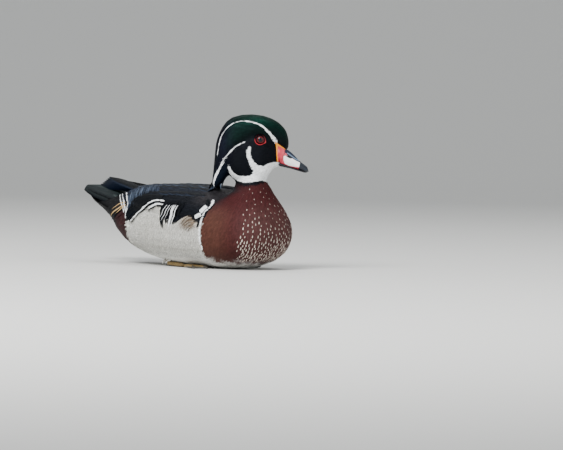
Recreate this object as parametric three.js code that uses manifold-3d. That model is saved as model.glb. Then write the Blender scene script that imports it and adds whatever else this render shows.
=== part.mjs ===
// A drake wood duck at life size, sitting on its belly with its feet tucked under and its head turned to its left.
// Millimetres, +Z up, +X towards the breast, +Y to the bird's left. The floor is z = 0, and the origin is on the
// belly's flat, below the middle of the trunk.
import * as THREE from "three";
import { mergeVertices } from "three/addons/utils/BufferGeometryUtils.js";
import Module from "manifold-3d";

const wasm = await Module();
wasm.setup();

// Driving dimensions
const GAP = 0.35; // between pieces that touch
const NECK_X = 66; // the neck's axis, forward of the trunk's middle
const HEAD_TURN = THREE.MathUtils.degToRad(45); // of the head, to the bird's left
const COLLAR_Z = 112; // height of the cut between neck and head
const NECK_BASE_Z = 88; // height of the cut between trunk and neck, at the neck's axis
const NECK_BASE_TILT = THREE.MathUtils.degToRad(24); // how far that cut falls towards the breast
const CREST_U = -26; // the cut between head and crest, along the head's axis
const EYE = { u: 9.4, z: 165, side: 14.9, radius: 6.4 };
const TAIL = { baseX: -132, tipX: -218, baseHalf: 20, tipHalf: 24, baseZ: 86, tipZ: 100, droop: 11, feathers: 9 };
const WING_TIP = { feathers: 4, rootX: -112, rootZ: 93, tipX: -172, tipZ: 108, fall: 5, step: 9.5, side: 9 };
const FOOT = { x: -14, y: 40, toe: 44, spread: 0.36, thickness: 2.4 };
const SHANK = { length: 35, radius: 3 };

// The trunk and neck, from the rump forward and up to the head. Each row is one slanting cross-section:
// its point on the back or nape [x, z], its point on the belly or throat [x, z], and its half width.
const BODY = [
  [-212, 91.5, -214, 87, 7],
  [-200, 89, -209, 78, 18],
  [-176, 88, -192, 66, 26],
  [-148, 92, -168, 51, 34],
  [-120, 98.5, -144, 30, 45.5],
  [-88, 101.5, -106, 12.5, 56],
  [-48, 102.5, -55, 2, 63.5],
  [-8, 102.5, -8, -1.6, 66],
  [24, 101, 42, -1.2, 65],
  [38, 99.5, 78, 5, 61],
  [43.5, 99.5, 101, 20, 55.5],
  [45.5, 101, 111, 42, 48],
  [46, 104, 108, 66, 37.5],
  [45.8, 107.5, 100, 85, 28.5],
  [45.5, 112, 92, 99, 23],
  [45.5, 118, 87.5, 110, 20.5],
  [47, 124, 86, 118, 19.5],
  [50, 129, 83, 126, 17],
];

// The hood: the green crown and the crest that hangs behind the neck. Each row is a point on its outer line
// [u, z], a point on its inner line [u, z], and its half width, with u along the head's own axis.
const HOOD = [
  [44.9, 151, 37.9, 149, 5.5],
  [46.4, 157, 30.9, 153, 8],
  [46.3, 165, 23.8, 156, 10.8],
  [44, 174, 15.8, 160, 13.4],
  [38.9, 182, 8.7, 162, 15.8],
  [28.7, 190.3, 1.7, 162, 18],
  [13.1, 196, -3.2, 160, 19.6],
  [-7.9, 197.5, -8.2, 155, 20.6],
  [-26.3, 193.4, -13, 150, 20.4],
  [-36.2, 184.5, -17, 147, 19.4],
  [-42.5, 173, -20, 143, 18],
  [-46.1, 162, -22.3, 137, 16.4],
  [-47.6, 149, -24.7, 129, 14.6],
  [-48.6, 135, -28.6, 121, 12.4],
  [-49.6, 122, -33.9, 113.5, 9.8],
  [-50.8, 110, -39.3, 106.5, 6.8],
  [-50.2, 101.5, -44.7, 101.5, 3.6],
];

// The face, cheeks and throat, from the nape forward: top [u, z], bottom [u, z], half width.
const FACE = [
  [-31.9, 140, -31.7, 132, 7],
  [-28.2, 156, -28.5, 119, 15],
  [-19.5, 172, -19.4, 111, 20.5],
  [-7.6, 181, -8.3, 108, 23],
  [4.3, 184, 3.7, 108, 23.2],
  [15.4, 181, 13.6, 109.5, 21.4],
  [23.5, 174, 20, 117, 17.6],
  [29.1, 166, 25.8, 127.5, 14],
  [33.8, 158, 32.3, 130.2, 10.6],
  [36.9, 150, 36.7, 132, 7],
];

// The bill, from inside the face to its tip: top line [u, z], bottom line [u, z], half width.
const UPPER_BILL = [
  [20.7, 165, 20.1, 142.5, 9],
  [26.7, 164.6, 26.1, 140.4, 10.3],
  [34.2, 160.6, 34.1, 137.6, 10.6],
  [42.4, 154.6, 42.2, 134.8, 10],
  [50.4, 148.2, 49.9, 131.8, 9.3],
  [58.3, 139.8, 57.5, 129.2, 9],
  [65.2, 134.6, 64.3, 127.2, 8.4],
  [70.7, 130.4, 69.8, 124.4, 5.2],
];
const LOWER_BILL = [
  [18.2, 140.5, 18.2, 134, 8],
  [27.2, 139.4, 27.2, 133.2, 8.8],
  [36.2, 136.2, 36.2, 131.4, 8.9],
  [45.2, 132.8, 45.2, 129.6, 8.6],
  [54.3, 129.6, 54.3, 127.2, 8.2],
  [62.4, 127.2, 62.4, 125.4, 7.4],
  [67.8, 125.5, 67.8, 124.1, 4.4],
];

const PLUMAGE = { roughness: 0.75, metalness: 0 };
const finish = {
  back: new THREE.MeshStandardMaterial({ color: 0x15181d, ...PLUMAGE }),
  chestnut: new THREE.MeshStandardMaterial({ color: 0x4a1f1a, ...PLUMAGE }),
  hood: new THREE.MeshStandardMaterial({ color: 0x0c2a22, roughness: 0.5, metalness: 0.2 }),
  wing: new THREE.MeshStandardMaterial({ color: 0x10131c, ...PLUMAGE }),
  tail: new THREE.MeshStandardMaterial({ color: 0x1b1e20, ...PLUMAGE }),
  billUpper: new THREE.MeshStandardMaterial({ color: 0xc4474e, roughness: 0.4, metalness: 0 }),
  billLower: new THREE.MeshStandardMaterial({ color: 0x1a1a1d, roughness: 0.4, metalness: 0 }),
  eye: new THREE.MeshStandardMaterial({ color: 0xa01812, roughness: 0.05, metalness: 0 }),
  foot: new THREE.MeshStandardMaterial({ color: 0xa88a4a, roughness: 0.6, metalness: 0 }),
};

// One row between the rows of a table, at t from 0 to 1, on a smooth curve through them.
function rowAt(rows, t) {
  const place = THREE.MathUtils.clamp(t, 0, 1) * (rows.length - 1);
  const i = Math.min(Math.floor(place), rows.length - 2);
  const f = place - i;
  const near = [i - 1, i, i + 1, i + 2].map((k) => rows[THREE.MathUtils.clamp(k, 0, rows.length - 1)]);
  return rows[0].map((_, c) => {
    const [a, b, d, e] = near.map((row) => row[c]);
    return b + 0.5 * f * (d - a + f * (2 * a - 5 * b + 4 * d - e + f * (3 * (b - d) + e - a)));
  });
}

// A sine or cosine bent so that an ellipse gets squarer (exponent over 2) or more pointed (under 2).
const bent = (value, exponent) => Math.sign(value) * Math.abs(value) ** (2 / exponent);

// The point of a table's surface at t along it and the angle round it, 90 degrees being its first line.
// shape.exponent squares the section, and shape.low widens the part nearest its second line.
function surfacePoint(rows, t, angle, shape, out) {
  const [topX, topZ, lowX, lowZ, halfWidth] = rowAt(rows, t);
  const end = Math.min(1, t / shape.cap, (1 - t) / shape.cap);
  const closing = Math.sqrt(Math.max(0, 1 - (1 - end) ** 2));
  const up = bent(Math.sin(angle), shape.exponent);
  const across = bent(Math.cos(angle), shape.exponent) * (1 - shape.low * up);
  return out.set(
    (topX + lowX) / 2 + ((topX - lowX) / 2) * up * closing,
    halfWidth * across * closing,
    (topZ + lowZ) / 2 + ((topZ - lowZ) / 2) * up * closing,
  );
}

// Moves the vertices of a sphere geometry: place(t, angle, point) sets each from its latitude and longitude.
function fromSphere(around, along, place) {
  const geometry = new THREE.SphereGeometry(1, around, along);
  const position = geometry.getAttribute("position");
  const point = new THREE.Vector3();
  for (let i = 0; i < position.count; i++) {
    point.fromBufferAttribute(position, i);
    const t = Math.acos(THREE.MathUtils.clamp(point.y, -1, 1)) / Math.PI;
    const angle = Math.atan2(point.z, point.x);
    place(t, angle, point);
    position.setXYZ(i, point.x, point.y, point.z);
  }
  return geometry;
}

const loft = (rows, around, along, shape) =>
  fromSphere(around, along, (t, angle, point) => surfacePoint(rows, t, angle, shape, point));

// A closed geometry as a solid, its surface moved out by grow.
function solid(geometry, grow = 0) {
  const bare = new THREE.BufferGeometry().setAttribute("position", geometry.getAttribute("position").clone());
  bare.setIndex(geometry.index ? geometry.index.clone() : null);
  const merged = mergeVertices(bare, 1e-3);
  const index = Array.from(merged.index.array);
  const triangles = [];
  for (let i = 0; i < index.length; i += 3) {
    const [a, b, c] = index.slice(i, i + 3);
    if (a !== b && b !== c && c !== a) triangles.push(a, b, c);
  }
  merged.setIndex(triangles);
  const build = () =>
    new wasm.Manifold(
      new wasm.Mesh({
        numProp: 3,
        vertProperties: new Float32Array(merged.getAttribute("position").array),
        triVerts: new Uint32Array(merged.index.array),
      }),
    );
  if (build().volume() < 0) {
    const turned = merged.index.array;
    for (let i = 0; i < turned.length; i += 3) [turned[i + 1], turned[i + 2]] = [turned[i + 2], turned[i + 1]];
  }
  if (grow) {
    merged.computeVertexNormals();
    const position = merged.getAttribute("position");
    const normal = merged.getAttribute("normal");
    for (let i = 0; i < position.count; i++) {
      position.setXYZ(
        i,
        position.getX(i) + grow * normal.getX(i),
        position.getY(i) + grow * normal.getY(i),
        position.getZ(i) + grow * normal.getZ(i),
      );
    }
  }
  return build();
}

const joined = (solids) => solids.reduce((whole, piece) => whole.add(piece));
const above = (piece, normal, offset) => piece.trimByPlane(normal.toArray(), offset);

// The largest of a solid's separate bodies, so that no crumb of a cut is left beside it.
const largest = (piece) => piece.decompose().sort((a, b) => b.volume() - a.volume())[0];

// The head's own frame: u forward along the head, v to its left, z up.
const headFrame = new THREE.Group();
headFrame.position.set(NECK_X, 0, 0);
headFrame.rotation.z = HEAD_TURN;
headFrame.updateMatrixWorld(true);
const headAxis = new THREE.Vector3(1, 0, 0).transformDirection(headFrame.matrixWorld);
const inHead = (geometry) => geometry.applyMatrix4(headFrame.matrixWorld);

// Trunk and neck
const BODY_SHAPE = { exponent: 2.25, low: 0.1, cap: 0.05 };
const bodyGeometry = loft(BODY, 28, 32, BODY_SHAPE);
const body = solid(bodyGeometry);
const bodyGrown = solid(bodyGeometry, GAP);

// Head and crest
const hoodGeometry = inHead(loft(HOOD, 18, 24, { exponent: 2.1, low: 0, cap: 0.05 }));
const faceGeometry = inHead(loft(FACE, 22, 14, { exponent: 2.2, low: 0.12, cap: 0.08 }));
const wholeHead = solid(hoodGeometry).add(solid(faceGeometry));
const wholeHeadGrown = solid(hoodGeometry, GAP).add(solid(faceGeometry, GAP));

// Eyes: a full ball each, in a socket of the head
const eyePlace = (side) => new THREE.Vector3(EYE.u, side * EYE.side, EYE.z).applyMatrix4(headFrame.matrixWorld);
const eyeBall = (side, radius) => {
  const centre = eyePlace(side);
  return new THREE.SphereGeometry(radius, 12, 9).translate(centre.x, centre.y, centre.z);
};

// Bill
const BILL_SHAPE = { exponent: 2.3, low: 0.22, cap: 0.1 };
const upperBillGeometry = inHead(loft(UPPER_BILL, 14, 13, BILL_SHAPE));
const lowerBillGeometry = inHead(loft(LOWER_BILL, 12, 9, { exponent: 2.6, low: -0.1, cap: 0.1 }));
const upperBill = largest(solid(upperBillGeometry).subtract(wholeHeadGrown));
const upperBillGrown = solid(upperBillGeometry, GAP);
const lowerBill = largest(solid(lowerBillGeometry).subtract(wholeHeadGrown).subtract(upperBillGrown));

// The head keeps what is above the collar, the neck what is below it and above the trunk's cut.
const up = new THREE.Vector3(0, 0, 1);
const down = new THREE.Vector3(0, 0, -1);
const crestCut = headAxis.dot(headFrame.position) + CREST_U;
const sockets = joined([solid(eyeBall(1, EYE.radius + GAP)), solid(eyeBall(-1, EYE.radius + GAP))]);
const neckBaseNormal = new THREE.Vector3(Math.sin(NECK_BASE_TILT), 0, Math.cos(NECK_BASE_TILT));
const neckBaseOffset = neckBaseNormal.dot(new THREE.Vector3(NECK_X, 0, NECK_BASE_Z));
const aboveCollar = above(body, up, COLLAR_Z + GAP);
const head = above(wholeHead.add(aboveCollar), headAxis, crestCut + GAP / 2);
const crest = above(wholeHead, headAxis.clone().negate(), -(crestCut - GAP / 2)).subtract(bodyGrown);
const neckTop = above(body, down, -COLLAR_Z);
const neck = above(neckTop, neckBaseNormal, neckBaseOffset + GAP).subtract(wholeHeadGrown);
const belowNeck = above(above(body, neckBaseNormal.clone().negate(), -neckBaseOffset), up, 0);

// Wings: each a pad that hugs the trunk, from the shoulder back to the blunt ends of the tertials.
const WING = { front: 9.4, rear: 2.7, upper: 97, lowerFront: 168, lowerRear: 158, slant: 0.45 };
const WING_THICK = { rim: 1, outer: 5.5, inner: 0.45 };
const bodyNormal = (() => {
  const [a, b, c] = [new THREE.Vector3(), new THREE.Vector3(), new THREE.Vector3()];
  const step = 0.004;
  return (t, angle, side) => {
    surfacePoint(BODY, t, angle, BODY_SHAPE, a);
    surfacePoint(BODY, t + step, angle, BODY_SHAPE, b);
    surfacePoint(BODY, t, angle + step, BODY_SHAPE, c);
    const normal = b.sub(a).cross(c.sub(a)).normalize();
    if (normal.y * side < 0 || (Math.abs(normal.y) < 0.2 && normal.z < 0)) normal.negate();
    return normal;
  };
})();
function wingGeometry(side) {
  return fromSphere(18, 12, (t, angle, point) => {
    // The sphere is flattened to a disc: along it, across it, and through its thickness.
    const along = -Math.cos(Math.PI * t);
    const ring = Math.sin(Math.PI * t);
    const acrossShare = Math.cos(angle);
    const through = ring * Math.sin(angle);
    const chord = (1 - Math.abs(along) ** 3.2) ** (1 / 2.6);
    const lower = THREE.MathUtils.lerp(WING.lowerFront, WING.lowerRear, (1 + along) / 2);
    const middle = (WING.upper + lower) / 2;
    const half = ((lower - WING.upper) / 2) * chord;
    const degrees = middle + half * acrossShare;
    const place = THREE.MathUtils.lerp(WING.front, WING.rear, (1 + along) / 2) / (BODY.length - 1);
    const slant = (WING.slant * acrossShare * chord * (1 + along)) / (BODY.length - 1);
    const turn = THREE.MathUtils.degToRad(side < 0 ? degrees : 180 - degrees);
    const normal = bodyNormal(place + slant, turn, side);
    surfacePoint(BODY, place + slant, turn, BODY_SHAPE, point);
    point.addScaledVector(normal, WING_THICK.rim + through * (through > 0 ? WING_THICK.outer : WING_THICK.inner));
  });
}

// One long feather: a thin blade from a root to a tip, broad near its end, with a crowned upper side.
function bladeGeometry(root, tip, normal, halfWidth, thickness, rootShare = 0.45) {
  const along = tip.clone().sub(root);
  const across = new THREE.Vector3().crossVectors(normal, along).normalize();
  const outward = new THREE.Vector3().crossVectors(along, across).normalize();
  return fromSphere(4, 8, (t, angle, point) => {
    const place = (1 - Math.cos(Math.PI * t)) / 2;
    const broad = THREE.MathUtils.lerp(rootShare, 1, THREE.MathUtils.smoothstep(place, 0, 0.6));
    const end = Math.min(1, place / 0.05, (1 - place) / 0.2);
    const width = halfWidth * broad * Math.sqrt(Math.max(0, 1 - (1 - end) ** 2));
    const edge = Math.cos(angle);
    const crown = thickness * 0.8 * (1 - edge * edge);
    point
      .copy(root)
      .addScaledVector(along, place)
      .addScaledVector(across, width * edge)
      .addScaledVector(outward, crown + thickness * Math.sin(angle) * Math.sqrt(Math.max(0, 1 - (1 - end) ** 2)));
  });
}

// The wing tip: a few primaries stacked under the tertials, their ends a stair over the tail.
function wingTip(side) {
  const normal = new THREE.Vector3(0, side * 0.5, 1).normalize();
  const blades = [];
  for (let i = 0; i < WING_TIP.feathers; i++) {
    const share = i / (WING_TIP.feathers - 1);
    const root = new THREE.Vector3(WING_TIP.rootX - 4 * i, side * (29 - 9 * share), WING_TIP.rootZ);
    const tip = new THREE.Vector3(WING_TIP.tipX - WING_TIP.step * i, side * WING_TIP.side, WING_TIP.tipZ - WING_TIP.fall * share);
    blades.push(solid(bladeGeometry(root, tip, normal, 6.8, 1.1, 0.9)));
  }
  return joined(blades);
}

// The tail: a fan of broad feathers that rises from the rump and droops at both sides.
function tailFan() {
  const blades = [];
  for (let i = 0; i < TAIL.feathers; i++) {
    const f = (2 * i) / (TAIL.feathers - 1) - 1;
    const drop = TAIL.droop * f * f;
    const root = new THREE.Vector3(TAIL.baseX, f * TAIL.baseHalf, TAIL.baseZ - 1.5 * drop);
    const tip = new THREE.Vector3(TAIL.tipX + 6 * f * f, f * TAIL.tipHalf, TAIL.tipZ - drop);
    const normal = new THREE.Vector3(0.2, 0.7 * f, 1).normalize();
    blades.push(solid(bladeGeometry(root, tip, normal, 7.6, 0.95)));
  }
  return joined(blades);
}

// A limb bone in its skin: a round bar whose radius swells at both joints.
function barGeometry(start, end, radius, swell) {
  const along = end.clone().sub(start);
  const across = new THREE.Vector3().crossVectors(along, up).normalize();
  const outward = new THREE.Vector3().crossVectors(across, along).normalize();
  return fromSphere(5, 5, (t, angle, point) => {
    const place = (1 - Math.cos(Math.PI * t)) / 2;
    const r = radius * (1 + swell * Math.abs(2 * place - 1) ** 3) * Math.sqrt(Math.max(0, Math.sin(Math.PI * t))) ** 0.8;
    point
      .copy(start)
      .addScaledVector(along, place)
      .addScaledVector(across, r * Math.cos(angle))
      .addScaledVector(outward, r * Math.sin(angle));
  });
}

// A webbed foot, flat on the floor: three toes with claws, the web between them, and the small hind toe.
function footSolid(side, grow = 0) {
  const heel = new THREE.Vector3(FOOT.x, side * FOOT.y, FOOT.thickness);
  const tips = [-1, 0, 1].map((k) => {
    const angle = k * FOOT.spread + side * 0.1;
    const length = FOOT.toe * (k === 0 ? 1 : 0.88);
    return heel.clone().add(new THREE.Vector3(Math.cos(angle) * length, Math.sin(angle) * length, -0.4));
  });
  const bars = [];
  for (const tip of tips) {
    const out = tip.clone().sub(heel).setZ(0).normalize();
    bars.push(barGeometry(heel, tip, FOOT.thickness, 0.1));
    bars.push(barGeometry(tip.clone().addScaledVector(out, -6), tip.clone().addScaledVector(out, 5).setZ(1), 1.4, 0));
  }
  const hindStart = heel.clone().add(new THREE.Vector3(4, 0, 0));
  const hindEnd = heel.clone().add(new THREE.Vector3(-10, side * -5, -0.6));
  bars.push(barGeometry(hindStart, hindEnd, 1.9, 0));
  const web = new THREE.Shape();
  web.moveTo(heel.x, heel.y);
  web.lineTo(tips[0].x, tips[0].y);
  for (const k of [1, 2]) {
    const middle = tips[k - 1].clone().add(tips[k]).multiplyScalar(0.5).lerp(heel, 0.16);
    web.quadraticCurveTo(middle.x, middle.y, tips[k].x, tips[k].y);
  }
  web.closePath();
  const plate = new THREE.ExtrudeGeometry(web, { depth: 1.4, bevelEnabled: false, curveSegments: 3 });
  const pieces = [plate.translate(0, 0, 0.5), ...bars];
  return above(joined(pieces.map((geometry) => solid(geometry, grow))), up, 0);
}

// The shank, laid along the floor behind the toes, with the ankle and the start of the lower leg above it.
function legSolid(side, grow = 0) {
  const toes = new THREE.Vector3(FOOT.x, side * FOOT.y, SHANK.radius);
  const ankle = new THREE.Vector3(FOOT.x - SHANK.length, side * (FOOT.y - 3), SHANK.radius + 1);
  const feathered = new THREE.Vector3(FOOT.x - 24, side * (FOOT.y - 6), 19);
  const bars = [barGeometry(ankle, toes, SHANK.radius, 0.15), barGeometry(ankle, feathered, SHANK.radius * 1.3, 0)];
  return above(joined(bars.map((bar) => solid(bar, grow))), up, 0);
}

// The finished mesh of a solid, in the frame of the group that will hold it.
function piece(name, made, material, frame) {
  const { vertProperties, triVerts, numProp, numVert } = made.getMesh();
  const position = new Float32Array(numVert * 3);
  for (let i = 0; i < numVert; i++) position.set(vertProperties.subarray(i * numProp, i * numProp + 3), i * 3);
  const geometry = new THREE.BufferGeometry()
    .setAttribute("position", new THREE.BufferAttribute(position, 3))
    .setIndex(new THREE.BufferAttribute(new Uint32Array(triVerts), 1))
    .applyMatrix4(frame.matrixWorld.clone().invert());
  geometry.computeVertexNormals();
  const mesh = new THREE.Mesh(geometry, material);
  mesh.name = name;
  frame.add(mesh);
}

const duck = new THREE.Group();
duck.add(headFrame);
duck.updateMatrixWorld(true);
piece("neck", largest(neck), finish.chestnut, duck);
piece("head", largest(head.subtract(sockets)), finish.hood, headFrame);
piece("crest", largest(crest), finish.hood, headFrame);
piece("bill_upper", upperBill, finish.billUpper, headFrame);
piece("bill_lower", lowerBill, finish.billLower, headFrame);

const wingsGrown = joined([solid(wingGeometry(1), GAP), solid(wingGeometry(-1), GAP)]);
const tips = { left: wingTip(1), right: wingTip(-1) };
const tail = largest(tailFan().subtract(bodyGrown).subtract(wingsGrown));
let trunk = belowNeck;
for (const [name, side] of [["left", 1], ["right", -1]]) {
  const legGrown = legSolid(side, GAP);
  trunk = trunk.subtract(legGrown).subtract(footSolid(side, GAP));
  piece("eye_" + name, solid(eyeBall(side, EYE.radius)), finish.eye, headFrame);
  piece("wing_" + name, solid(wingGeometry(side)), finish.wing, duck);
  const cleared = tips[name].subtract(bodyGrown).subtract(wingsGrown).subtract(tail);
  piece("wing_tip_" + name, largest(cleared), finish.wing, duck);
  piece("leg_" + name, legSolid(side), finish.foot, duck);
  piece("foot_" + name, largest(footSolid(side).subtract(legGrown)), finish.foot, duck);
}
piece("tail", tail, finish.tail, duck);
piece("trunk", largest(trunk), finish.back, duck);

export default duck;
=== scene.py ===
"""A drake wood duck at life size: one skin under a coat of feathers, with its eyes, bill and feet."""

import math

import bmesh
import bpy
import numpy as np
from mathutils import Matrix, Vector, kdtree
from mathutils.bvhtree import BVHTree


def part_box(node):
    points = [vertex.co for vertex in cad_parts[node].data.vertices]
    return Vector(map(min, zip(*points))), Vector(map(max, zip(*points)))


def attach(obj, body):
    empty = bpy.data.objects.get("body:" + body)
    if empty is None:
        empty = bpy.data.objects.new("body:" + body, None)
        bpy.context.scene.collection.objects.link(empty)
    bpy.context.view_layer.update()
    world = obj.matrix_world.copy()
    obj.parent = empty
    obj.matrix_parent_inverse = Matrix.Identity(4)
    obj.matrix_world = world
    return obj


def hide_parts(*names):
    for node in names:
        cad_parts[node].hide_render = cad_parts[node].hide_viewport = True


bl_info = {
    "name": "Wood Duck",
    "version": (1, 0, 0),
    "blender": (4, 5, 0),
    "location": "3D View > Sidebar > Duck",
    "description": "Makes the skin, feathers, eyes, bill and feet of a life-size drake wood duck",
    "category": "Add Mesh",
}

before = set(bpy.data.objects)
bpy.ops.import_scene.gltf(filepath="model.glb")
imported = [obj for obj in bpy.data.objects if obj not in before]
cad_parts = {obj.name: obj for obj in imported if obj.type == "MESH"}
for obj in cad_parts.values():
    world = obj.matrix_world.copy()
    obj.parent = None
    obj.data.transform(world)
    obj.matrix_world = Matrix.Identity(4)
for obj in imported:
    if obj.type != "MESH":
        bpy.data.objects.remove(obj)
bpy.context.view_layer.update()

# Sizes are in millimetres until a mesh is made, and MM turns them into metres.
MM = 0.001
FLESH = ["head", "crest", "neck", "trunk", "wing_left", "wing_right"]
EYE_LOW, EYE_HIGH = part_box("eye_right")
EYE_RADIUS = (EYE_HIGH.z - EYE_LOW.z) / 2 / MM
NECK_X = 66.0
HEAD_TURN = math.radians(45)
BODY_HEART = np.array([0.0, 0.0, 52.0])
HEAD_HEART = np.array([-6.0, 0.0, 150.0])

SIDES = (("left", 1), ("right", -1))

# How far the skin draws in below the chin.
THROAT_DRAWN_IN = 2.4
# The eye's middle in the head's side view.
EYE_U, EYE_Z = 9.4, 165
# The u at which the crest takes over from the face's feathers.
CREST_FROM = -24
# The height up to which the body wears the belly's feathers.
BELLY_TOP = 14
# A distance aside that is clear of the head.
CLEAR_OF_HEAD = 40.0

# The photo's angles: how far round the bird it is taken, how far from above, and how far it leans.
PHOTO_YAW, PHOTO_RISE, PHOTO_LEAN = math.radians(45), math.radians(2), math.radians(1)
# What the camera aims at, in metres: to the picture's right, up the picture, and over the floor.
AIM_RIGHT, AIM_UP, AIM_HEIGHT = 0.0851, 0.0235, 0.032
# The floor in metres: where it starts to curve up, the curve's radius, the backdrop's height, half its width.
FLOOR_EDGE, FLOOR_BEND, BACKDROP_TOP, FLOOR_HALF = 3.0, 2.5, 9.0, 14

# The head's own frame: u forward, v to its left, z up.
FORWARD = np.array([math.cos(HEAD_TURN), math.sin(HEAD_TURN), 0.0])
LEFTWARD = np.array([-math.sin(HEAD_TURN), math.cos(HEAD_TURN), 0.0])


def to_head(points):
    """Points of the bird's frame in the head's frame."""
    local = points - np.array([NECK_X, 0.0, 0.0])
    return np.stack([local @ FORWARD, local @ LEFTWARD, points[:, 2]], axis=1)


def from_head(points):
    """Points of the head's frame in the bird's frame."""
    points = np.asarray(points, float)
    flat = points[:, :1] * FORWARD + points[:, 1:2] * LEFTWARD
    return flat + np.array([NECK_X, 0.0, 0.0]) + points[:, 2:3] * np.array([0.0, 0.0, 1.0])


# Colours, linear red, green and blue, with the gloss of the feather as a fourth number.
GREEN = (0.002, 0.028, 0.019, 1.0)
DEEP_GREEN = (0.003, 0.012, 0.010, 0.9)
INK = (0.0035, 0.0045, 0.0065, 0.8)
VIOLET = (0.010, 0.007, 0.022, 1.0)
BLUE_BLACK = (0.004, 0.008, 0.018, 0.9)
WHITE = (0.88, 0.90, 0.91, 0.0)
MAROON = (0.049, 0.0105, 0.011, 0.25)
CHESTNUT = (0.070, 0.026, 0.018, 0.15)
BUFF = (0.50, 0.49, 0.44, 0.0)
SAND = (0.17, 0.115, 0.072, 0.0)
DOME_LINE = (0.055, 0.038, 0.028, 0.1)
BELLY = (0.72, 0.71, 0.67, 0.0)
BACK = (0.005, 0.006, 0.009, 0.8)
MANTLE = (0.020, 0.018, 0.020, 0.5)
# The wing panel's blue, also painted as a sheen along the top of the back and on the upper scapulars' edges.
STEEL = (0.018, 0.027, 0.050, 0.8)
PANEL_EDGE = (0.03, 0.045, 0.085, 0.8)
PRIMARY_EDGE = (0.008, 0.018, 0.045, 0.9)
PALE_BLUE = (0.20, 0.26, 0.36, 0.3)
RUMP = (0.030, 0.009, 0.010, 0.3)
VENT = (0.009, 0.009, 0.010, 0.35)
STRAW = (0.50, 0.33, 0.15, 0.0)
TAIL_GREY = (0.020, 0.030, 0.030, 0.5)
OUTER_TAIL = (0.014, 0.018, 0.019, 0.45)
TAIL_EDGE = (0.07, 0.08, 0.08, 0.2)
DUSTY = (0.095, 0.046, 0.042, 0.15)
FLECK = (0.66, 0.56, 0.48, 0.0)
BILL_RED = (0.47, 0.028, 0.052, 0.3)
BILL_YELLOW = (0.78, 0.27, 0.008, 0.3)
IRIS = (0.11, 0.003, 0.005, 1.0)
FOOT = (0.22, 0.14, 0.04, 1.0)
WEB = (0.05, 0.045, 0.035, 1.0)
CLAW_DARK = (0.01, 0.009, 0.008, 1)
CLAW_PALE = (0.05, 0.042, 0.035, 1)
PUPIL = (0.003, 0.003, 0.005, 1.0)
BILL_BLUSH = (0.55, 0.10, 0.12, 0.3)
BILL_SADDLE = (0.86, 0.85, 0.85, 0.3)
BILL_RIDGE = (0.010, 0.017, 0.034, 0.5)
BILL_RIDGE_HIGHLIGHT = (0.14, 0.20, 0.28, 0.5)
BILL_EDGE = (0.42, 0.012, 0.035, 0.3)
BILL_NAIL = (0.012, 0.016, 0.024, 0.6)
BILL_BELOW = (0.010, 0.010, 0.014, 0.5)
NOSTRIL = (0.004, 0.004, 0.006, 0.0)

# Head markings in the head's side view, as [u, z] along each line, and the two white lines' widths from
# front to back.
BROW = [
    [29.4, 162.8], [23.2, 171.3], [15.1, 180], [8.2, 184.6], [0.4, 187.1], [-7.6, 188.4],
    [-15.4, 188.6], [-24.2, 185.8], [-31.9, 180.1], [-36.7, 174.3], [-40, 167.3], [-42.3, 159.4],
    [-43.7, 150.6], [-44.4, 141],
]
BROW_WIDTH = (4.4, 1.7, 0.6, 0.8, 0.45)
CREST_LINE = [
    [-8.6, 162.5], [-14.9, 159.9], [-20.7, 156.4], [-25.5, 151.9], [-29.4, 147.4], [-34.2, 140.9],
    [-37.9, 134], [-41.7, 127.1], [-45.6, 119.5], [-48.4, 112.5], [-50.7, 103],
]
CREST_LINE_WIDTH = (0.7, 1.4, 2.2, 3.0, 2.0)
THROAT = [
    [-3.6, 157.2], [-2.2, 155.3], [-2.9, 147.3], [-0.9, 141.5], [3.2, 135.8], [7.1, 132.6], [14, 132],
    [18.8, 134.5], [26.6, 136.8], [48, 137], [48, 100], [20, 111], [13.3, 113.6], [3.6, 112],
    [-8.2, 110.5], [-17.9, 112.4], [-24.9, 116.6], [-29, 122.4], [-31, 129.3], [-29.8, 134.6],
    [-28.4, 132.3], [-27, 127.3], [-23.1, 122.5], [-16.1, 118.9], [-2.4, 118.9], [0.5, 121.9],
    [1.4, 125.9], [-1.6, 130.7], [-4.7, 137.6], [-6.9, 145.3], [-7.5, 151.2],
]
# The height in the neck about which the head's colours start.
COLLAR_LOW = 112.5

# Where the chestnut breast ends, as [z, x], and the flank's upper edge, as [x, z], in the bird's side view.
BREAST_EDGE = [
    [0, 39], [37, 40], [54, 39], [63, 40], [72, 44], [79, 48], [88, 48], [95, 53], [101, 62],
    [108, 50],
]
FLANK_TOP = [
    [-118, 50], [-107, 57], [-89, 63], [-80, 70], [-68, 76], [-57, 79], [-34, 80], [-33, 64],
    [-16, 57], [-4, 58], [2, 64], [11, 66.5], [21, 66], [28, 61], [36, 60], [40, 58],
]

# The middle and the lower edge of the throat's white strap, as [u, z] from the front backwards.
STRAP = [
    [22, 111.5], [12, 115], [0, 114.8], [-8.2, 114.6], [-17, 115.8], [-24, 120.4], [-28.3, 127],
    [-29.4, 134],
]
STRAP_LOW = [
    [22, 109], [13.3, 113.6], [3.6, 111.5], [-8.2, 110.3], [-17.9, 112.2], [-24.9, 116.4], [-29, 122],
]


def on_line(line, first):
    """A line's second numbers at places given by their first, which grow along it."""
    return np.interp(first, *np.array(line).T)


def collar(u):
    """The height of the white throat's lower edge, for places in the head's frame."""
    return on_line(STRAP_LOW[::-1], u) - 0.35 * np.maximum(u - 22, 0)


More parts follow.
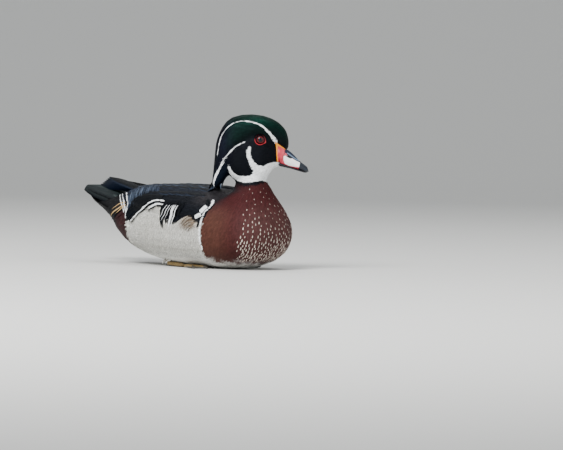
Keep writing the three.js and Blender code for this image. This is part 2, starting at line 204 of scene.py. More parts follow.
def line_distance(x, y, line):
    """How far each point is from a line, and how far along the line, from 0 to 1, its nearest place is."""
    line = np.asarray(line, float)
    steps = np.diff(line, axis=0)
    lengths = np.hypot(steps[:, 0], steps[:, 1])
    starts = np.concatenate([[0], np.cumsum(lengths)[:-1]])
    best = np.full(len(x), 1e9)
    where = np.zeros(len(x))
    for start, step, length, before in zip(line[:-1], steps, lengths, starts):
        along = np.clip(((x - start[0]) * step[0] + (y - start[1]) * step[1]) / length**2, 0, 1)
        away = np.hypot(x - start[0] - along * step[0], y - start[1] - along * step[1])
        nearer = away < best
        best[nearer] = away[nearer]
        where[nearer] = (before + along * length)[nearer]
    return best, where / lengths.sum()


def inside(x, y, outline):
    """Which points lie inside a closed outline."""
    result = np.zeros(len(x), bool)
    for (x0, y0), (x1, y1) in zip(outline, outline[1:] + outline[:1]):
        crosses = (y0 > y) != (y1 > y)
        at = x0 + (y - y0) * (x1 - x0) / ((y1 - y0) or 1e-9)
        result ^= crosses & (x < at)
    return result


def ease(value, low, high):
    """A smooth step from 0 at low to 1 at high."""
    t = np.clip((value - low) / (high - low), 0, 1)
    return t * t * (3 - 2 * t)


def blend(base, other, share):
    """Colours, or other rows of numbers, moved from base towards other by a share for each point."""
    return base + (np.asarray(other, float) - base) * np.asarray(share, float)[:, None]


def waver(points, scale):
    """A smooth value from -1 to 1 that wanders over the body, with waves about scale millimetres long."""
    x, y, z = (points * (2 * math.pi / scale)).T
    waves = np.sin(x + 1.7 * np.sin(0.6 * y)) + np.sin(1.3 * z + 1.1 * np.sin(0.8 * x))
    return (waves + np.sin(0.9 * y + 2.1)) / 3


def paint(name):
    """A colour of the scene's settings: red, green, blue and gloss."""
    return np.array(getattr(bpy.context.scene.duck_colours, name))


def head_colour(points):
    """The hood's green and purple with its white lines, the black cheeks and the white throat."""
    u, v, z = to_head(points).T
    line_z = np.interp(u, [-60, -30, 0, 30, 60], [136, 158, 178, 176, 150])
    colour = np.tile(paint("ink"), (len(points), 1))
    colour = blend(colour, DEEP_GREEN, 0.9 * ease(z, line_z - 14, line_z + 6))
    over_brow = ease(z - on_line(BROW[::-1], u), -8, 1)
    shine = ease(z, line_z, line_z + 14) * (0.7 + 0.3 * waver(points, 34)) * ease(u, -34, -2)
    colour = blend(colour, paint("green"), shine * (0.25 + 0.75 * over_brow))
    colour = blend(colour, VIOLET, (1 - ease(u, -40, -20)) * ease(z, 120, 160) * 0.6)
    colour = blend(colour, BLUE_BLACK, (1 - ease(z, 108, 150)) * (1 - ease(u, -34, -22)))
    colour = blend(colour, paint("ink"), (1 - ease(np.abs(z - 146), 6, 22)) * ease(u, 4, 14) * 0.6)
    away, along = line_distance(u, z, BROW)
    width = np.interp(along, np.linspace(0, 1, 5), BROW_WIDTH) / 2
    side = np.abs(v) > 2
    white = (away < width) & side
    away, along = line_distance(u, z, CREST_LINE)
    width = np.interp(along, np.linspace(0, 1, 5), CREST_LINE_WIDTH) / 2
    colour[white | (away < width) & side] = paint("white")
    return colour


def body_colour(points):
    """The chestnut neck and breast, the pale flanks and belly, the dark back and rump, with a painted
    blue-grey sheen along the top of the back.
    """
    x, y, z = points.T
    flank_z = on_line(FLANK_TOP, x)
    edge_x = on_line(BREAST_EDGE, z)
    everywhere = (len(points), 1)
    colour = np.tile(paint("back"), everywhere)
    # Painted sheen: the wing panel's blue laid in patches along the top of the back.
    colour = blend(colour, paint("steel"), 0.5 * ease(z, 92, 101) * (0.5 + 0.5 * waver(points, 17)))
    colour = blend(colour, MANTLE, ease(x, 4, 36) * ease(z, 76, 90) * 0.9)
    flank = ease(flank_z - z, -0.6, 0.6) * ease(x, -113, -107)
    off_dome = ease(np.hypot((x - 17) / 22, (z - 60) / 17), 0.35, 1.05)
    dome = ease(x, -6, 4) * ease(z, 42, 56) * (1 - off_dome)
    tone = blend(np.tile(paint("buff"), everywhere), BELLY, 0.35 + 0.35 * waver(points, 12))
    ripples = np.sin(2.4 * np.hypot(x - 20, z - 48) + 1.5 * waver(points, 8))
    tone = blend(tone, SAND, dome * (0.7 + 0.3 * ease(ripples, -0.5, 0.8)))
    colour = blend(colour, tone, flank)
    colour = blend(colour, RUMP, (1 - ease(x, -112, -106)) * ease(80 - z, 0, 6))
    colour = blend(colour, VENT, (1 - ease(x, -150, -132)) * ease(95 - z, 0, 6))
    breast = ease(x - edge_x, -0.4, 0.6)
    warm = np.tile(paint("maroon"), everywhere)
    warm = blend(warm, paint("chestnut"), (1 - ease(x - np.abs(y) * 0.6, 20, 66)) * (1 - ease(z, 66, 90)))
    warm = blend(warm, DUSTY, 0.5 * ease(x - 0.4 * np.abs(y), 56, 92) * (1 - ease(z, 62, 96)))
    warm = blend(warm, paint("ink"), 0.8 * ease(z, 90, 112) * (1 - ease(x - 0.4 * np.abs(y), 50, 78)))
    warm = blend(warm, MANTLE, 0.5 * (1 - ease(x - edge_x, 0, 14)) * ease(z, 70, 88))
    colour = blend(colour, warm, breast)
    low = 8 + 9 * (1 - ease(x, 24, 60)) + 4 * waver(points, 15)
    return blend(colour, BELLY, (1 - ease(z, low - 5, low + 6)) * ease(x, -135, -118))


def plumage(points):
    """The colour of the skin and coat at any point of the bird."""
    points = np.asarray(points, float)
    u, _, z = to_head(points).T
    throat = inside(u, z, THROAT) & (z > 104)
    away, _ = line_distance(u, z, STRAP_LOW)
    hood = (z > COLLAR_LOW - 1) | ((u < -27) & (z > 103.5))
    colour = body_colour(points)
    colour[hood] = head_colour(points[hood])
    below = ~hood & (away < 3.2) & (u < 15)
    colour[below] = paint("ink")
    colour[throat] = paint("white")
    return np.clip(colour, 0, 1)


# Materials


class Finish:
    """A material in the making: its surface shader and the nodes that feed it."""

    def __init__(self, name, **inputs):
        self.material = bpy.data.materials.new(name)
        self.material.use_nodes = True
        self.tree = self.material.node_tree
        self.shader = self.tree.nodes["Principled BSDF"]
        self.fill(self.shader, inputs)

    def fill(self, node, inputs):
        """Sets a node's inputs, named with _ for each space."""
        for key, value in inputs.items():
            node.inputs[key.replace("_", " ")].default_value = value

    def link(self, source, name):
        """Joins an output to one of the surface shader's inputs."""
        self.tree.links.new(source, self.shader.inputs[name])

    def add(self, kind, socket=None, source=None, settings=None, **inputs):
        """Adds a node with its settings and inputs, and joins a source to one of its sockets."""
        node = self.tree.nodes.new("ShaderNode" + kind)
        for key, value in (settings or {}).items():
            setattr(node, key, value)
        self.fill(node, inputs)
        if source is not None:
            self.tree.links.new(source, node.inputs[socket])
        return node

    def tint(self):
        """The Tint attribute: its colour and its gloss."""
        return self.add("Attribute", settings={"attribute_name": "Tint"}).outputs

    def place(self):
        """The place on the bird, in metres."""
        return self.add("TexCoord").outputs["Object"]

    def noise(self, place, **inputs):
        """A fine grain from 0 to 1."""
        return self.add("TexNoise", "Vector", place, **inputs).outputs["Fac"]

    def stretch(self, value, low, high, start=0.0, stop=1.0):
        """A value between start and stop, moved to between low and high."""
        node = self.add("MapRange", "Value", value, From_Min=start, From_Max=stop, To_Min=low, To_Max=high)
        return node.outputs["Result"]

    def shade(self, colour, factor):
        """A colour times a factor."""
        node = self.add("VectorMath", 0, colour, {"operation": "SCALE"})
        self.tree.links.new(factor, node.inputs["Scale"])
        return node.outputs["Vector"]

    def bump(self, height, strength, depth):
        """Raises the surface by a height, over any bump that it has."""
        node = self.add("Bump", "Height", height, Strength=strength, Distance=depth)
        under = self.shader.inputs["Normal"].links
        if under:
            self.tree.links.new(under[0].from_socket, node.inputs["Normal"])
        self.link(node.outputs["Normal"], "Normal")


def plumage_material(name, barbs, ripples=0.0, sheen=0.0):
    """Feathers: colour and gloss from the Tint attribute, barbs along the Vane map, and fine dark ripples."""
    finish = Finish(name, Specular_IOR_Level=0.12, Sheen_Weight=sheen, Sheen_Roughness=0.4)
    tint = finish.tint()
    place = finish.place()
    noise = finish.noise(place, Scale=420, Detail=2)
    colour = finish.shade(tint["Color"], finish.stretch(noise, 0.72, 1.22))
    if ripples:
        lines = finish.add("TexWave", "Vector", place, {"bands_direction": "X"},
                           Scale=150, Distortion=9, Detail=2, Detail_Scale=2.2)
        colour = finish.shade(colour, finish.stretch(lines.outputs["Fac"], 1 - ripples, 1.05, 0.35, 0.75))
    finish.link(colour, "Base Color")
    finish.link(finish.stretch(tint["Alpha"], 0.7, 0.42), "Roughness")
    metal = finish.add("Math", 0, tint["Alpha"], {"operation": "MULTIPLY"})
    metal.inputs[1].default_value = 0.85
    finish.link(metal.outputs["Value"], "Metallic")
    if barbs:
        vane = finish.add("UVMap", settings={"uv_map": "Vane"}).outputs["UV"]
        barb = finish.add("TexWave", "Vector", vane, {"bands_direction": "DIAGONAL"},
                          Scale=barbs, Distortion=1.2)
        finish.bump(barb.outputs["Fac"], 0.35, 0.0003)
    finish.bump(noise, 0.3, 0.0003)
    return finish.material


def grained_material(name, grain, dark, light, relief, depth, **inputs):
    """Bare parts: colour from the Tint attribute, with a fine grain in the colour and in the surface."""
    finish = Finish(name, **inputs)
    noise = finish.noise(finish.place(), **grain)
    finish.link(finish.shade(finish.tint()["Color"], finish.stretch(noise, dark, light)), "Base Color")
    finish.bump(noise, relief, depth)
    return finish.material


def horn_material():
    """The bill: satin, with faint growth lines and pits."""
    return grained_material("horn", {"Scale": 260, "Detail": 4}, 0.8, 1.15, 0.25, 0.0004, Roughness=0.42,
                            Specular_IOR_Level=0.3, Coat_Weight=0.08, Subsurface_Weight=0.05,
                            Subsurface_Scale=0.002)


def lid_material():
    """The naked red ring round the eye, finely wrinkled."""
    return grained_material("lid", {"Scale": 900}, 0.55, 1.3, 0.5, 0.0003, Roughness=0.45)


def eye_material():
    """The eyeball: its rings from the Tint attribute, under a wet clear surface."""
    finish = Finish("eye", Roughness=0.3, Specular_IOR_Level=0.1, Coat_Weight=0.35, Coat_Roughness=0.03)
    finish.link(finish.tint()["Color"], "Base Color")
    return finish.material


def scale_material():
    """Dull yellow scaly skin, dusky between the scales and on the webs."""
    finish = Finish("scales", Roughness=0.5)
    cells = finish.add("TexVoronoi", "Vector", finish.place(), Scale=620).outputs["Distance"]
    raised = finish.stretch(cells, 1.1, 0.5, 0, 0.8)
    finish.link(finish.shade(finish.tint()["Color"], raised), "Base Color")
    finish.bump(raised, 0.6, 0.0005)
    return finish.material


def claw_material():
    """Black horn with a dull shine."""
    finish = Finish("claw", Roughness=0.4)
    ramp = finish.add("ValToRGB", "Fac", finish.noise(finish.place(), Scale=1500))
    for element, colour in zip(ramp.color_ramp.elements, (CLAW_DARK, CLAW_PALE)):
        element.color = colour
    finish.link(ramp.outputs["Color"], "Base Color")
    return finish.material


# How each finish is made.
MAKERS = {
    "skin": lambda: plumage_material("skin", 0),
    "silk": lambda: plumage_material("silk", 3),
    "coat": lambda: plumage_material("coat", 5),
    "flank": lambda: plumage_material("flank", 4, ripples=0.42, sheen=0.1),
    "quill": lambda: plumage_material("quill", 16),
    "horn": horn_material,
    "lid": lid_material,
    "eye": eye_material,
    "scales": scale_material,
    "claw": claw_material,
}
MATERIALS = {}


def material(name):
    """Each finish, made when it is first asked for."""
    if name not in MATERIALS:
        MATERIALS[name] = MAKERS[name]()
    return MATERIALS[name]


# Mesh helpers


def finish_piece(obj, finish, nodes=()):
    """Gives a piece its finish, its body and the nodes that it stands for."""
    obj.data.materials.clear()
    obj.data.materials.append(material(finish))
    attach(obj, "root")
    if nodes:
        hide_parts(*nodes)
    return obj


def object_from(name, mesh):
    """A new object of that mesh, in the scene."""
    obj = bpy.data.objects.new(name, mesh)
    bpy.context.scene.collection.objects.link(obj)
    return obj


def mesh_from(name, bm):
    """A smooth mesh of that bmesh, which is used up."""
    mesh = bpy.data.meshes.new(name)
    bm.to_mesh(mesh)
    bm.free()
    mesh.polygons.foreach_set("use_smooth", np.ones(len(mesh.polygons), bool))
    return mesh


def thicken(obj, thickness):
    """Gives a shell its thickness, inwards."""
    solidify = obj.modifiers.new("thickness", "SOLIDIFY")
    solidify.thickness = thickness * MM
    solidify.offset = -1


def set_tint(mesh, colours):
    """Stores a colour and a gloss for each vertex."""
    attribute = mesh.color_attributes.new("Tint", "FLOAT_COLOR", "POINT")
    attribute.data.foreach_set("color", np.asarray(colours, np.float32).ravel())


def coordinates(mesh):
    """A mesh's vertices in millimetres."""
    co = np.zeros(len(mesh.vertices) * 3)
    mesh.vertices.foreach_get("co", co)
    return co.reshape(-1, 3) / MM


def move_vertices(mesh, points):
    """Puts a mesh's vertices at points given in millimetres."""
    mesh.vertices.foreach_set("co", (np.asarray(points) * MM).astype(np.float32).ravel())
    mesh.update()


def vertex_normals(mesh):
    """The mesh's vertex normals."""
    normals = np.zeros(len(mesh.vertices) * 3)
    mesh.vertex_normals.foreach_get("vector", normals)
    return normals.reshape(-1, 3)


def remeshed(name, nodes, swell, voxel, smoothing):
    """Copies of CAD nodes, swollen over the gaps between them and remeshed as one smooth closed surface."""
    bm = bmesh.new()
    for node in nodes:
        part = bmesh.new()
        part.from_mesh(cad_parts[node].data)
        bmesh.ops.remove_doubles(part, verts=part.verts, dist=2e-6)
        part.normal_update()
        for vert in part.verts:
            vert.co += vert.normal * swell * MM
        mesh = mesh_from(node + "_copy", part)
        bm.from_mesh(mesh)
        bpy.data.meshes.remove(mesh)
    obj = object_from(name + "_rough", mesh_from(name + "_rough", bm))
    remesh = obj.modifiers.new("remesh", "REMESH")
    remesh.mode = "VOXEL"
    remesh.voxel_size = voxel * MM
    smooth = obj.modifiers.new("smooth", "SMOOTH")
    smooth.factor = 0.5
    smooth.iterations = smoothing
    depsgraph = bpy.context.evaluated_depsgraph_get()
    mesh = bpy.data.meshes.new_from_object(obj.evaluated_get(depsgraph))
    bpy.data.objects.remove(obj)
    mesh.name = name
    mesh.polygons.foreach_set("use_smooth", np.ones(len(mesh.polygons), bool))
    return mesh


class Surface:
    """The skin's surface, in millimetres: nearest points, smooth normals and places spread over it."""

    def __init__(self, mesh):
        self.points = coordinates(mesh)
        self.normals = vertex_normals(mesh)
        mesh.calc_loop_triangles()
        triangles = np.zeros(len(mesh.loop_triangles) * 3, int)
        mesh.loop_triangles.foreach_get("vertices", triangles)
        self.triangles = triangles.reshape(-1, 3)
        self.tree = BVHTree.FromPolygons(self.points.tolist(), self.triangles.tolist())

    def snap(self, points):
        """The nearest points of the skin, and the normals there."""
        places = np.empty((len(points), 3))
        faces = np.empty(len(points), int)
        find = self.tree.find_nearest
        for i, point in enumerate(np.asarray(points).tolist()):
            place, _, face, _ = find(point)
            places[i] = place
            faces[i] = face
        corners = self.triangles[faces]
        a, b, c = (self.points[corners[:, k]] for k in range(3))
        weights = np.stack([1 / (1e-3 + np.linalg.norm(places - p, axis=1)) for p in (a, b, c)], axis=1)
        normals = sum(self.normals[corners[:, k]] * weights[:, k : k + 1] for k in range(3))
        return places, normals / np.linalg.norm(normals, axis=1, keepdims=True)

    def spread(self, keep, spacing, seed):
        """Places about spacing apart, where keep says yes. spacing is a function of the points."""
        rng = np.random.default_rng(seed)
        a, b, c = (self.points[self.triangles[:, k]] for k in range(3))
        middle = (a + b + c) / 3
        chosen = np.nonzero(keep(middle))[0]
        a, b, c = a[chosen], b[chosen], c[chosen]
        area = np.linalg.norm(np.cross(b - a, c - a), axis=1) / 2
        wanted = area / spacing(middle[chosen]) ** 2 * 4.5
        counts = rng.poisson(wanted)
        index = np.repeat(np.arange(len(chosen)), counts)
        r, s = rng.random(len(index)), rng.random(len(index))
        over = r + s > 1
        r[over], s[over] = 1 - r[over], 1 - s[over]
        points = a[index] + r[:, None] * (b - a)[index] + s[:, None] * (c - a)[index]
        order = rng.permutation(len(points))
        points = points[order]
        reach = spacing(points)
        tree = kdtree.KDTree(len(points))
        for i, point in enumerate(points.tolist()):
            tree.insert(point, i)
        tree.balance()
        alive = np.ones(len(points), bool)
        for i, point in enumerate(points.tolist()):
            if alive[i]:
                for _, j, _ in tree.find_range(point, reach[i]):
                    alive[j] = False
                alive[i] = True
        return points[alive]


STATE = {}


def unwrap(points, heart, stretch):
    """A point's longitude and latitude about a heart inside the body."""
    x, y, z = ((points - heart) / np.asarray(stretch)).T
    if stretch[0] >= stretch[2]:
        return np.stack([np.arctan2(y, z), np.arctan2(x, np.hypot(y, z))], axis=1)
    return np.stack([np.arctan2(y, x), np.arctan2(z, np.hypot(x, y))], axis=1)


def bake_places(roots, on_head):
    """The root of each feather on the unwrap, filling the square from edge to edge."""
    if on_head:
        places = unwrap(to_head(roots), HEAD_HEART, (1, 1, 1.2))
    else:
        places = unwrap(roots, BODY_HEART, (1.7, 1, 1))
    low, high = places.min(0), places.max(0)
    return 0.02 + 0.96 * (places - low) / np.maximum(high - low, 1e-6)


# Half widths along a feather, from its root to its tip, as shares of its widest.
CONTOUR = (0.35, 0.8, 1.0, 0.92, 0.12)
HAIR = (0.6, 1.0, 0.95, 0.7, 0.1)
BROAD = (0.4, 0.75, 0.95, 1.0, 0.97, 0.75, 0.15)
BLUNT = (0.6, 0.85, 1.0, 1.0, 1.0, 0.95, 0.6)
SQUARE = (0.85, 1.0, 1.0, 1.0, 1.0, 1.0, 0.85)
ROUND = (0.45, 0.7, 0.88, 0.97, 1.0, 1.0, 0.96, 0.82, 0.4)
PLUME = (0.5, 0.9, 1.0, 0.95, 0.8, 0.5, 0.08)
ARROWHEAD = (0.12, 0.8, 0.75)

# How far a feather's edges hang below its middle, as a share of its width.
CAMBER = 0.12

# The size of each feather's place on the unwrap, as a share of its side.
PATCH = 0.003


def build_vanes(name, lines, sides, normals, widths, shape, colours, roots, on_head, thick=0.0):
    """One mesh of many feathers. lines, sides and normals hold a point or direction for each row of each
    feather, widths one number a feather, and colours one colour a row or one a vertex. A thick feather has an
    underside that meets its upper side all round."""
    count, rows = lines.shape[:2]
    across = np.array([-1.0, 0.0, 1.0]) if rows < 7 else np.array([-1.0, -0.5, 0.0, 0.5, 1.0])
    columns = len(across)
    shares = np.interp(np.linspace(0, 1, rows), np.linspace(0, 1, len(shape)), shape)
    half = widths[:, None, None] * shares[None, :, None] * across[None, None, :] / 2
    sag = -CAMBER * widths[:, None, None] * shares[None, :, None] * across[None, None, :] ** 2
    ups = normals[:, :, None, :]
    grid = lines[:, :, None, :] + sides[:, :, None, :] * half[..., None] + ups * sag[..., None]
    points = grid.reshape(-1, 3)
    if colours.ndim == 3:
        colours = np.repeat(colours[:, :, None, :], columns, axis=2)
    colours = colours.reshape(-1, 4)
    r, c = np.meshgrid(np.arange(rows - 1), np.arange(columns - 1), indexing="ij")
    corner = (r * columns + c).ravel()
    quads = np.stack([corner, corner + 1, corner + columns + 1, corner + columns], axis=1)
    faces = (quads[None] + (np.arange(count) * rows * columns)[:, None, None]).reshape(-1, 4)
    along = np.linspace(0, 1, rows)
    vane = np.stack(np.broadcast_arrays(across[None, :] / 2 + 0.5, along[:, None]), axis=-1).reshape(-1, 2)
    vane = np.tile(vane, (count, 1))
    places = bake_places(roots, on_head)
    patch = np.repeat(places, rows * columns, axis=0) + (vane - 0.5) * PATCH
    if thick:
        ends = np.sin(np.linspace(0, math.pi, rows)) ** 0.5
        depth = thick * ends[None, :, None] * (1 - across**2)[None, None, :]
        under = grid - ups * depth[..., None]
        faces = np.concatenate([faces, faces[:, ::-1] + len(points)])
        points = np.concatenate([points, under.reshape(-1, 3)])
        colours = np.concatenate([colours, colours])
        vane = np.concatenate([vane, vane])
        patch = np.concatenate([patch, patch])
    mesh = bpy.data.meshes.new(name)
    mesh.vertices.add(len(points))
    mesh.loops.add(faces.size)
    mesh.polygons.add(len(faces))
    mesh.vertices.foreach_set("co", (points * MM).astype(np.float32).ravel())
    mesh.loops.foreach_set("vertex_index", faces.ravel())
    mesh.polygons.foreach_set("loop_start", np.arange(len(faces)) * 4)
    mesh.polygons.foreach_set("use_smooth", np.ones(len(faces), bool))
    for label, values in (("OFBake", patch), ("Vane", vane)):
        layer = mesh.uv_layers.new(name=label)
        layer.data.foreach_set("uv", values[faces.ravel()].astype(np.float32).ravel())
    set_tint(mesh, colours)
    mesh.update()
    mesh.validate()
    return object_from(name, mesh)


def tangent(directions, normals):
    """Directions laid flat on the surface, each of length one."""
    flat = directions - (directions * normals).sum(-1, keepdims=True) * normals
    return flat / np.maximum(np.linalg.norm(flat, axis=-1, keepdims=True), 1e-9)


def line_way(x, y, line):
    """The direction of a line at its place nearest to each point."""
    line = np.asarray(line, float)
    _, where = line_distance(x, y, line)
    steps = np.concatenate([[0], np.cumsum(np.hypot(*np.diff(line, axis=0).T))])
    ahead = [np.interp(np.minimum(where + 0.03, 1) * steps[-1], steps, line[:, k]) for k in (0, 1)]
    back = [np.interp(np.maximum(where - 0.03, 0) * steps[-1], steps, line[:, k]) for k in (0, 1)]
    way = np.stack([ahead[0] - back[0], ahead[1] - back[1]], axis=1)
    return way / np.maximum(np.hypot(way[:, 0], way[:, 1]), 1e-6)[:, None]


def head_lie(points):
    """The way head feathers point: along the white lines over the crown and down the crest, and back over the
    cheeks and down the throat."""
    u, _, z = to_head(points).T
    near_brow = 1 / (1 + line_distance(u, z, BROW)[0] ** 2)
    near_crest = 1 / (1 + line_distance(u, z, CREST_LINE)[0] ** 2)
    over = line_way(u, z, BROW) * near_brow[:, None] + line_way(u, z, CREST_LINE) * near_crest[:, None]
    over /= np.maximum(np.hypot(over[:, 0], over[:, 1]), 1e-6)[:, None]
    cheek = np.stack([-np.ones(len(u)), -0.3 - 0.9 * (1 - ease(z, 112, 134))], axis=1)
    line_z = np.interp(u, [-60, -50, -30, -8, 30], [100, 104, 146, 162, 168])
    share = ease(z, line_z - 5, line_z + 3)[:, None]
    share = np.maximum(share, 1 - ease(u, -36, -32)[:, None])
    way = cheek * (1 - share) + over * share
    strap = (1 - ease(line_distance(u, z, STRAP)[0], 3, 6)) * (1 - ease(u, 14, 22)) * (1 - ease(z, 129, 134))
    way = blend(way, line_way(u, z, STRAP), strap)
    return way[:, :1] * FORWARD + way[:, 1:2] * np.array([0.0, 0.0, 1.0])


def body_lie(points):
    """The way body feathers point: down the neck and breast, and back along the body to the tail."""
    x, y, z = points.T
    neck = ease(x, 30, 72)
    flank = ease(x, -90, -40) * (1 - ease(z, 74, 92)) * ease(z, 8, 30)
    down = 0.12 + 1.5 * neck + 0.45 * flank
    inward = -np.sign(y) * 0.2 * (1 - ease(x, -150, -90)) * ease(np.abs(y), 4, 16)
    return np.stack([-np.ones(len(x)) * (1 - 0.45 * neck), inward, -down], axis=1)


def coat(name, keep, spacing, length, width, shape, finish, lift, seed, on_head=False, splay=0.1,
         tone=0.12, crisp=0.8, rows=5):
    """A piece of the coat: feathers spread over part of the skin, each following it from root to tip. crisp
    says how far a feather has one colour of its own instead of the colours of the places that it crosses."""
    surface = STATE["surface"]
    roots = surface.spread(keep, spacing, seed)
    rng = np.random.default_rng(seed + 1)
    _, normals = surface.snap(roots)
    count = len(roots)
    lie = tangent(head_lie(roots) if on_head else body_lie(roots), normals)
    lie = tangent(lie + rng.normal(0, splay, lie.shape), normals)
    lengths = length(roots) * rng.uniform(0.85, 1.15, count)
    widths = width(roots) * rng.uniform(0.85, 1.15, count)
    lines, ups, sides = lay(roots, lie, lengths, 0.12, lift * rng.uniform(0.85, 1.15, count), rows)
    colours = plumage(lines.reshape(-1, 3)).reshape(count, rows, 4)
    own = plumage((lines[:, 1] + lines[:, 2]) / 2)[:, None]
    colours = colours * (1 - crisp) + own * crisp
    colours[..., :3] *= 1 + tone * rng.uniform(-1, 1, (count, 1, 1))
    obj = build_vanes(name, lines, sides, ups, widths, shape, colours, roots, on_head)
    return finish_piece(obj, finish)


def lay(roots, ways, lengths, low, lifts, rows):
    """Follows the skin from each root along its own way, and gives every row's points, ups and sides."""
    surface = STATE["surface"]
    _, normals = surface.snap(roots)
    lines = np.empty((len(roots), rows, 3))
    ups = np.empty((len(roots), rows, 3))
    at, up, way = roots.copy(), normals.copy(), ways.copy()
    for row in range(rows):
        if row:
            ahead = at + way * (lengths / (rows - 1))[:, None]
            place, found = surface.snap(ahead)
            stays = (np.linalg.norm(place - ahead, axis=1) < 1.1) & ((found * up).sum(1) > 0.7)
            at = np.where(stays[:, None], place, ahead)
            up = np.where(stays[:, None], found, up)
            way = tangent(way, up)
        ups[:, row] = up
        lines[:, row] = at + up * (low + lifts * (row / (rows - 1)) ** 1.4)[:, None]
    along = np.gradient(lines, axis=1)
    along /= np.maximum(np.linalg.norm(along, axis=2, keepdims=True), 1e-9)
    return lines, ups, np.cross(ups, along)


def build_trim(name, strips, seed):
    """Bands of many small feathers on both sides: strips holds, for each, its guide points, its width, its
    colour, its height over the skin and the size of its feathers. They point along the band, or with the
    coat if the height is negative."""
    rng = np.random.default_rng(seed)
    surface = STATE["surface"]
    roots, ways, lengths, widths, heights, colours = [], [], [], [], [], []
    for guide, band, colour, height, size in strips:
        for mirror in (1, -1):
            points = np.asarray(guide, float) * np.array([1, mirror, 1])
            reach = np.linalg.norm(np.diff(points, axis=0), axis=1).sum()
            steps = max(int(reach / 0.8), 4)
            line, up = surface.snap(curve_through(points, steps))
            way = tangent(np.gradient(line, axis=0), up)
            side = np.cross(up, way)
            count = int(reach * max(band, 1.2) / size**2 * 7) + 6
            pick = rng.random(count) * (steps - 1)
            index = pick.astype(int)
            part = (pick - index)[:, None]
            spot = line[index] * (1 - part) + line[np.minimum(index + 1, steps - 1)] * part
            wide = max(band - size * 0.4, 0.1)
            taper = np.interp(pick / (steps - 1), [0, 0.12, 0.8, 1], [0.6, 1, 1, 0.35])
            spot = spot + side[index] * (rng.uniform(-0.5, 0.5, count) * wide * taper)[:, None]
            turn = rng.normal(0, 0.09, count)[:, None]
            point = tangent(body_lie(spot), up[index]) if height < 0 else way[index]
            roots.append(spot - point * size * 0.5)
            ways.append(tangent(point + np.cross(up[index], point) * turn, up[index]))
            lengths.append(size * rng.uniform(0.8, 1.3, count))
            widths.append(np.minimum(size * 0.36, band) * rng.uniform(0.8, 1.2, count))
            heights.append(abs(height) + 0.15 * rng.random(count))
            tint = np.tile(np.array(colour, float), (count, 5, 1))
            tint[..., :3] *= rng.uniform(0.85, 1.1, (count, 1, 1))
            colours.append(tint)
    roots, _ = surface.snap(np.concatenate(roots))
    heights = np.concatenate(heights)
    lifts = np.full(len(roots), 0.35)
    lines, ups, sides = lay(roots, np.concatenate(ways), np.concatenate(lengths), 0.0, lifts, 5)
    lines += ups * heights[:, None, None]
    obj = build_vanes(name, lines, sides, ups, np.concatenate(widths), HAIR, np.concatenate(colours), roots,
                      False)
    return finish_piece(obj, "coat")


def const(value):
    """A function of points that is the same everywhere."""
    return lambda points: np.full(len(points), float(value))


def curve_through(points, rows):
    """Rows of points on a smooth line through the given ones."""
    points = np.asarray(points, float)
    if len(points) == 2:
        return points[0] + (points[1] - points[0]) * np.linspace(0, 1, rows)[:, None]
    steps = np.concatenate([[0], np.cumsum(np.linalg.norm(np.diff(points, axis=0), axis=1))])
    places = np.linspace(0, steps[-1], rows)
    padded = np.vstack([2 * points[0] - points[1], points, 2 * points[-1] - points[-2]])
    result = []
    for place in places:
        i = min(np.searchsorted(steps, place, side="right") - 1, len(points) - 2)
        f = (place - steps[i]) / (steps[i + 1] - steps[i])
        a, b, c, d = padded[i : i + 4]
        result.append(b + 0.5 * f * (c - a + f * (2 * a - 5 * b + 4 * c - d + f * (3 * (b - c) + d - a))))
    return np.array(result)


def laid_feathers(name, feathers, shape, finish, on_head=False, rows=13, nodes=()):
    """Long feathers laid one by one. Each is a dict: its guide points, its width, its colours, its heights
    over the skin at root and tip, the sides that get it and, where it stands free, the way its top faces."""
    surface = STATE["surface"]
    lines, sides, ups, widths, colours, roots = [], [], [], [], [], []
    along = np.linspace(0, 1, rows)
    for feather in feathers:
        for mirror in feather.get("mirrors", (1, -1)):
            points = np.asarray(feather["guide"], float) * np.array([1, mirror, 1])
            line = curve_through(points, rows)
            place, up = surface.snap(line)
            if "up" in feather:
                up = np.tile(np.asarray(feather["up"], float) * np.array([1, mirror, 1]), (rows, 1))
                place = line
            low, high = feather["height"]
            place = place + up * (low + (high - low) * along)[:, None]
            way = np.gradient(place, axis=0)
            way /= np.linalg.norm(way, axis=1, keepdims=True)
            side = np.cross(up, way)
            side /= np.linalg.norm(side, axis=1, keepdims=True)
            lines.append(place)
            ups.append(np.cross(way, side))
            sides.append(side)
            widths.append(feather["width"])
            colours.append(feather["colours"](along, np.linspace(-1, 1, 5) * mirror))
            roots.append(place[0])
    obj = build_vanes(name, np.array(lines), np.array(sides), np.array(ups), np.array(widths), shape,
                      np.array(colours), np.array(roots), on_head,
                      thick=bpy.context.scene.duck_sizes.quill_thickness / MM)
    return finish_piece(obj, finish, nodes)


def plain(colour, edge=None, edge_share=0.75):
    """Colours of a laid feather: one colour, and another along its outer edge."""

    def paint_rows(along, across):
        result = np.tile(np.array(colour, float), (len(along), len(across), 1))
        if edge is not None:
            result[:, across >= edge_share] = edge
        return result

    return paint_rows


# Pieces


